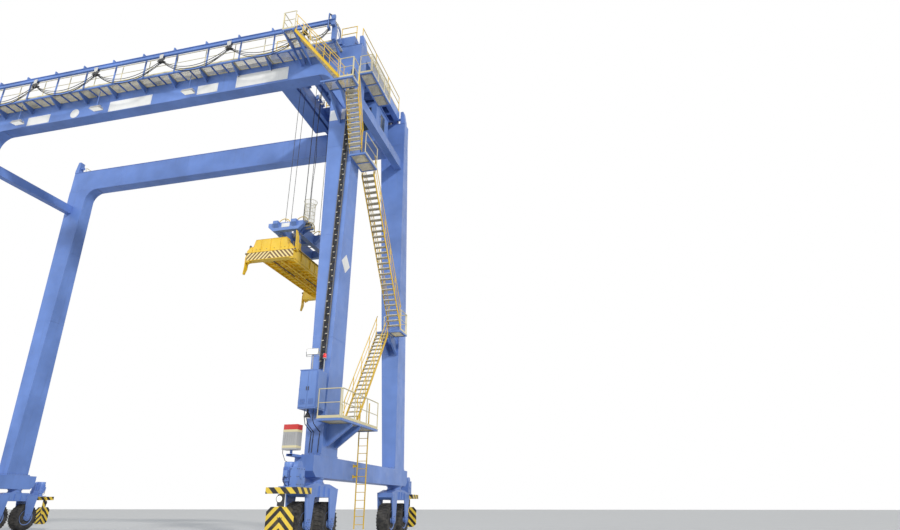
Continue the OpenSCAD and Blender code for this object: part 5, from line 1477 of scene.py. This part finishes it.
# Spreader
s = Shape()
for side in PAIR:
    # flanges, stiffeners, bolts and hydraulic lines along the box
    s.origin = (HOIST + side * 0.78, 0, 0)
    s.mark = 0
    for z in (BOX_LOW + 0.02, BOX_HIGH - 0.03):
        s.box((-0.004, -2.69, z - 0.012), (side * 0.03, 2.69, z + 0.012))
    for y in (-2.6, -1.46, -0.54, 0.0, 0.46, 1.38, 2.28, 2.6):
        s.box((0, y - 0.008, BOX_LOW + 0.03), (side * 0.028, y + 0.008, BOX_HIGH - 0.04))
    s.mark = 1
    for k in range(11):
        s.bolt((side * 0.004, 0.5 * k - 2.47, BOX_HIGH - 0.09), (side, 0, 0), 0.010)
    s.mark = 2
    for drop in (0.06, 0.085):
        s.tube([(side * 0.018, y, BOX_HIGH - drop) for y in (-2.62, 2.62)], 0.008, 8)
    for y in (-1.4, 1.4):
        s.origin = (HOIST + side * 0.5, y, BOX_HIGH)
        for face in PAIR:
            s.mark = 0
            s.prism([(-0.16, 0.04), (0.16, 0.04), (0.09, 0.34), (-0.09, 0.34)], "y", face * 0.11 - 0.006, 0.012)
            s.mark = 1
            for x in (-0.135, 0.135):
                s.bolt((x, face * 0.135, 0.04), (0, 0, 1), 0.014)
# open underside: cross ribs, edge angles, braces and the cylinders of the end beams
s.origin = (HOIST, 0, BOX_LOW)
s.mark = 0
for y in [0.0] + [face * (0.4 + 0.45 * k) for face in PAIR for k in range(6)]:
    s.box((-0.74, y - 0.02, -0.07), (0.74, y + 0.02, 0))
for x in (-0.77, -0.4, 0.0, 0.4, 0.77):
    s.box((x - 0.012, -2.68, -0.09), (x + 0.012, 2.68, 0))
for y0, y1 in ((-2.2, -1.75), (-0.85, -0.4), (0.4, 0.85), (1.75, 2.2)):
    for x, z in ((-0.4, -0.045), (0.4, -0.046)):
        s.slab((x, y0, z), (-x, y1, z), 0.05, 0.05)
for face in PAIR:
    x, z = -face * 0.2, -0.10
    s.mark = 0
    s.rod((x, face * 2.4, z), (x, -face * 0.2, z), 0.045, 20)
    for y in (2.38, 1.1, -0.15):
        s.rod((x, face * y, z), (x, face * (y - 0.04), z), 0.054, 20)
    s.mark = 1
    s.rod((x, -face * 0.2, z), (x, -face * 2.4, z), 0.025, 16)
# power pack and valve box: lid, ribs, caps and hoses
s.origin = (HOIST, 0, BOX_HIGH)
s.mark = 3
s.box((-0.36, -0.53, 0.20), (0.36, 0.53, 0.225))
for k in range(9):
    y = 0.11 * k - 0.44
    for side in PAIR:
        s.box((side * 0.35, y - 0.006, 0.03), (side * 0.366, y + 0.006, 0.19))
s.lathe([(0.06, 0), (0.06, 0.04), (0.045, 0.05)], (-0.15, 0.2, 0.32), (0, 0, 1), 24)
s.lathe([(0.09, 0), (0.095, 0.01), (0.095, 0.20), (0.06, 0.22)], (0.12, -0.15, 0.32), (0, 0, 1), 28)
for k in range(4):
    x = 0.1 * k - 0.18
    s.mark = 3
    s.disc(0.022, 0.05, (x, 0.75, 0.22), (0, 0, 1), 14)
    s.mark = 2
    s.tube([(x, y, z) for y, z in ((0.75, 0.26), (0.72, 0.33), (0.62, 0.345), (0.56, 0.28), (0.54, 0.16))], 0.011, 8)
s.done("spreader_fittings", "orange dark_steel cable grey", "hoisted", "spreader_yellow")

TOP_EDGE = [(-1.22, 12.55), (-1.04, 12.75), (-0.90, 12.75), (-0.80, 13.10), (0.80, 13.10), (0.90, 12.75),
            (1.04, 12.75), (1.22, 12.55)]
HOSE = [(1.05, 2.86, 12.79), (0.98, 2.84, 12.84), (0.90, 2.83, 12.90), (0.78, 2.82, 13.13), (0.70, 2.82, 13.135)]
for face, tag in ((-1, "near"), (1, "far")):
    s = Shape(mirror(1, face), (HOIST, 0, 0))
    out = 3.03
    for (x0, z0), (x1, z1) in zip(TOP_EDGE, TOP_EDGE[1:]):
        s.slab((x0, out - 0.15, z0 + 0.006), (x1, out - 0.15, z1 + 0.006), 0.32, 0.012)
    for x in (-0.95, -0.5, 0.0, 0.5, 0.95):
        s.box((x - 0.008, out, 12.48), (x + 0.008, out + 0.018, 12.74 if abs(x) > 0.9 else 13.06))
    for z in (BAND_LOW - 0.018, BAND_HIGH):
        s.box((-1.2, out, z), (1.2, out + 0.016, z + 0.018))
    s.mark = 1
    for side in PAIR:
        for turn in PAIR:
            s.lathe([(0.042, 0), (0.042, 0.012), (0.022, 0.018)], (side * 1.28, 2.88 + turn * 0.1255, 12.45),
                    (0, turn, 0), 20)
        s.lathe([(0.05, 0), (0.05, 0.24), (0.04, 0.26)], (side * 1.13, 2.93, 12.62), (0, 0, 1), 24)
        s.disc(0.022, 0.10, (side * 1.05, 2.86, 12.70), (0, 0, 1), 14)
        for x in (0.2, 0.55, 0.75):
            s.bolt((side * x, out, 12.60), (0, 1, 0), 0.014)
    s.mark = 2
    s.tube([(-x, y, z) for x, y, z in HOSE] + HOSE[::-1], 0.010, 8)
    s.done(f"end_beam_fittings_{tag}", "orange dark_steel cable", f"end_{tag}", "spreader_yellow")


# Stage, lights and camera
def put(name, data, at=(0, 0, 0), toward=None):
    """Links an object into the scene, looking toward a direction if there is one."""
    obj = bpy.data.objects.new(name, data)
    obj.location = at
    if toward:
        obj.rotation_euler = Vector(toward).to_track_quat("-Z", "Y").to_euler()
    bpy.context.scene.collection.objects.link(obj)
    return obj


def stage():
    """Concrete floor."""
    wide = 400
    mesh = bpy.data.meshes.new("floor")
    mesh.from_pydata([(-wide, -wide, 0), (wide, -wide, 0), (wide, wide, 0), (-wide, wide, 0)], [], [(0, 1, 2, 3)])
    n = Nodes("floor_concrete")
    base = n.mix(n.ramp(n.noise(0.6, 6.0), 0.3, 0.7), (0.66, 0.66, 0.65), (0.69, 0.69, 0.68))
    mesh.materials.append(n.surface(base, n.ramp(n.noise(2.0), 0.3, 0.7, 0.75, 0.9)))
    put("floor", mesh)


def sky():
    """World that lights in pale blue and is seen in white."""
    world = bpy.data.worlds.new("studio")
    bpy.context.scene.world = world
    t = Tree(world)
    soft = t.new("ShaderNodeBackground", {"Color": (0.86, 0.92, 1.0), "Strength": 0.52})
    seen = t.new("ShaderNodeBackground", {"Color": (1, 1, 1), "Strength": 1.0})
    rays = t.new("ShaderNodeLightPath").outputs
    seen_by = rays["Is Camera Ray"]
    for other in ("Is Glossy Ray", "Is Transmission Ray"):
        seen_by = t.math("MAXIMUM", seen_by, rays[other])
    pick = t.new("ShaderNodeMixShader", {0: seen_by, 1: soft.outputs[0], 2: seen.outputs[0]})
    t.new("ShaderNodeOutputWorld", {"Surface": pick.outputs[0]})


def lights():
    sun = bpy.data.lights.new("key", "SUN")
    sun.energy, sun.angle, sun.color = 1.9, math.radians(6), (1.0, 0.96, 0.9)
    put("key", sun, toward=(-0.62, 0.66, -0.42))
    fill = bpy.data.lights.new("fill", "AREA")
    fill.shape, fill.size, fill.energy, fill.color = "DISK", 40, 12000, (0.92, 0.96, 1.0)
    put("fill", fill, at=(-30, -60, 35), toward=(30, 60, -23))


def camera():
    """The photograph's camera, as fitted to it."""
    yaw, pitch = -0.246, 0.387
    data = bpy.data.cameras.new("camera")
    data.sensor_width = 36.0
    data.lens = 595 / 900 * data.sensor_width  # focal length over width, in pixels of the photograph
    data.clip_end = 2000
    look = (math.sin(yaw) * math.cos(pitch), math.cos(yaw) * math.cos(pitch), math.sin(pitch))
    bpy.context.scene.camera = put("camera", data, at=(22.39 + SHIFT, -25.837, 1.297), toward=look)


stage()
sky()
lights()
camera()
bpy.context.scene.view_settings.view_transform = "Standard"
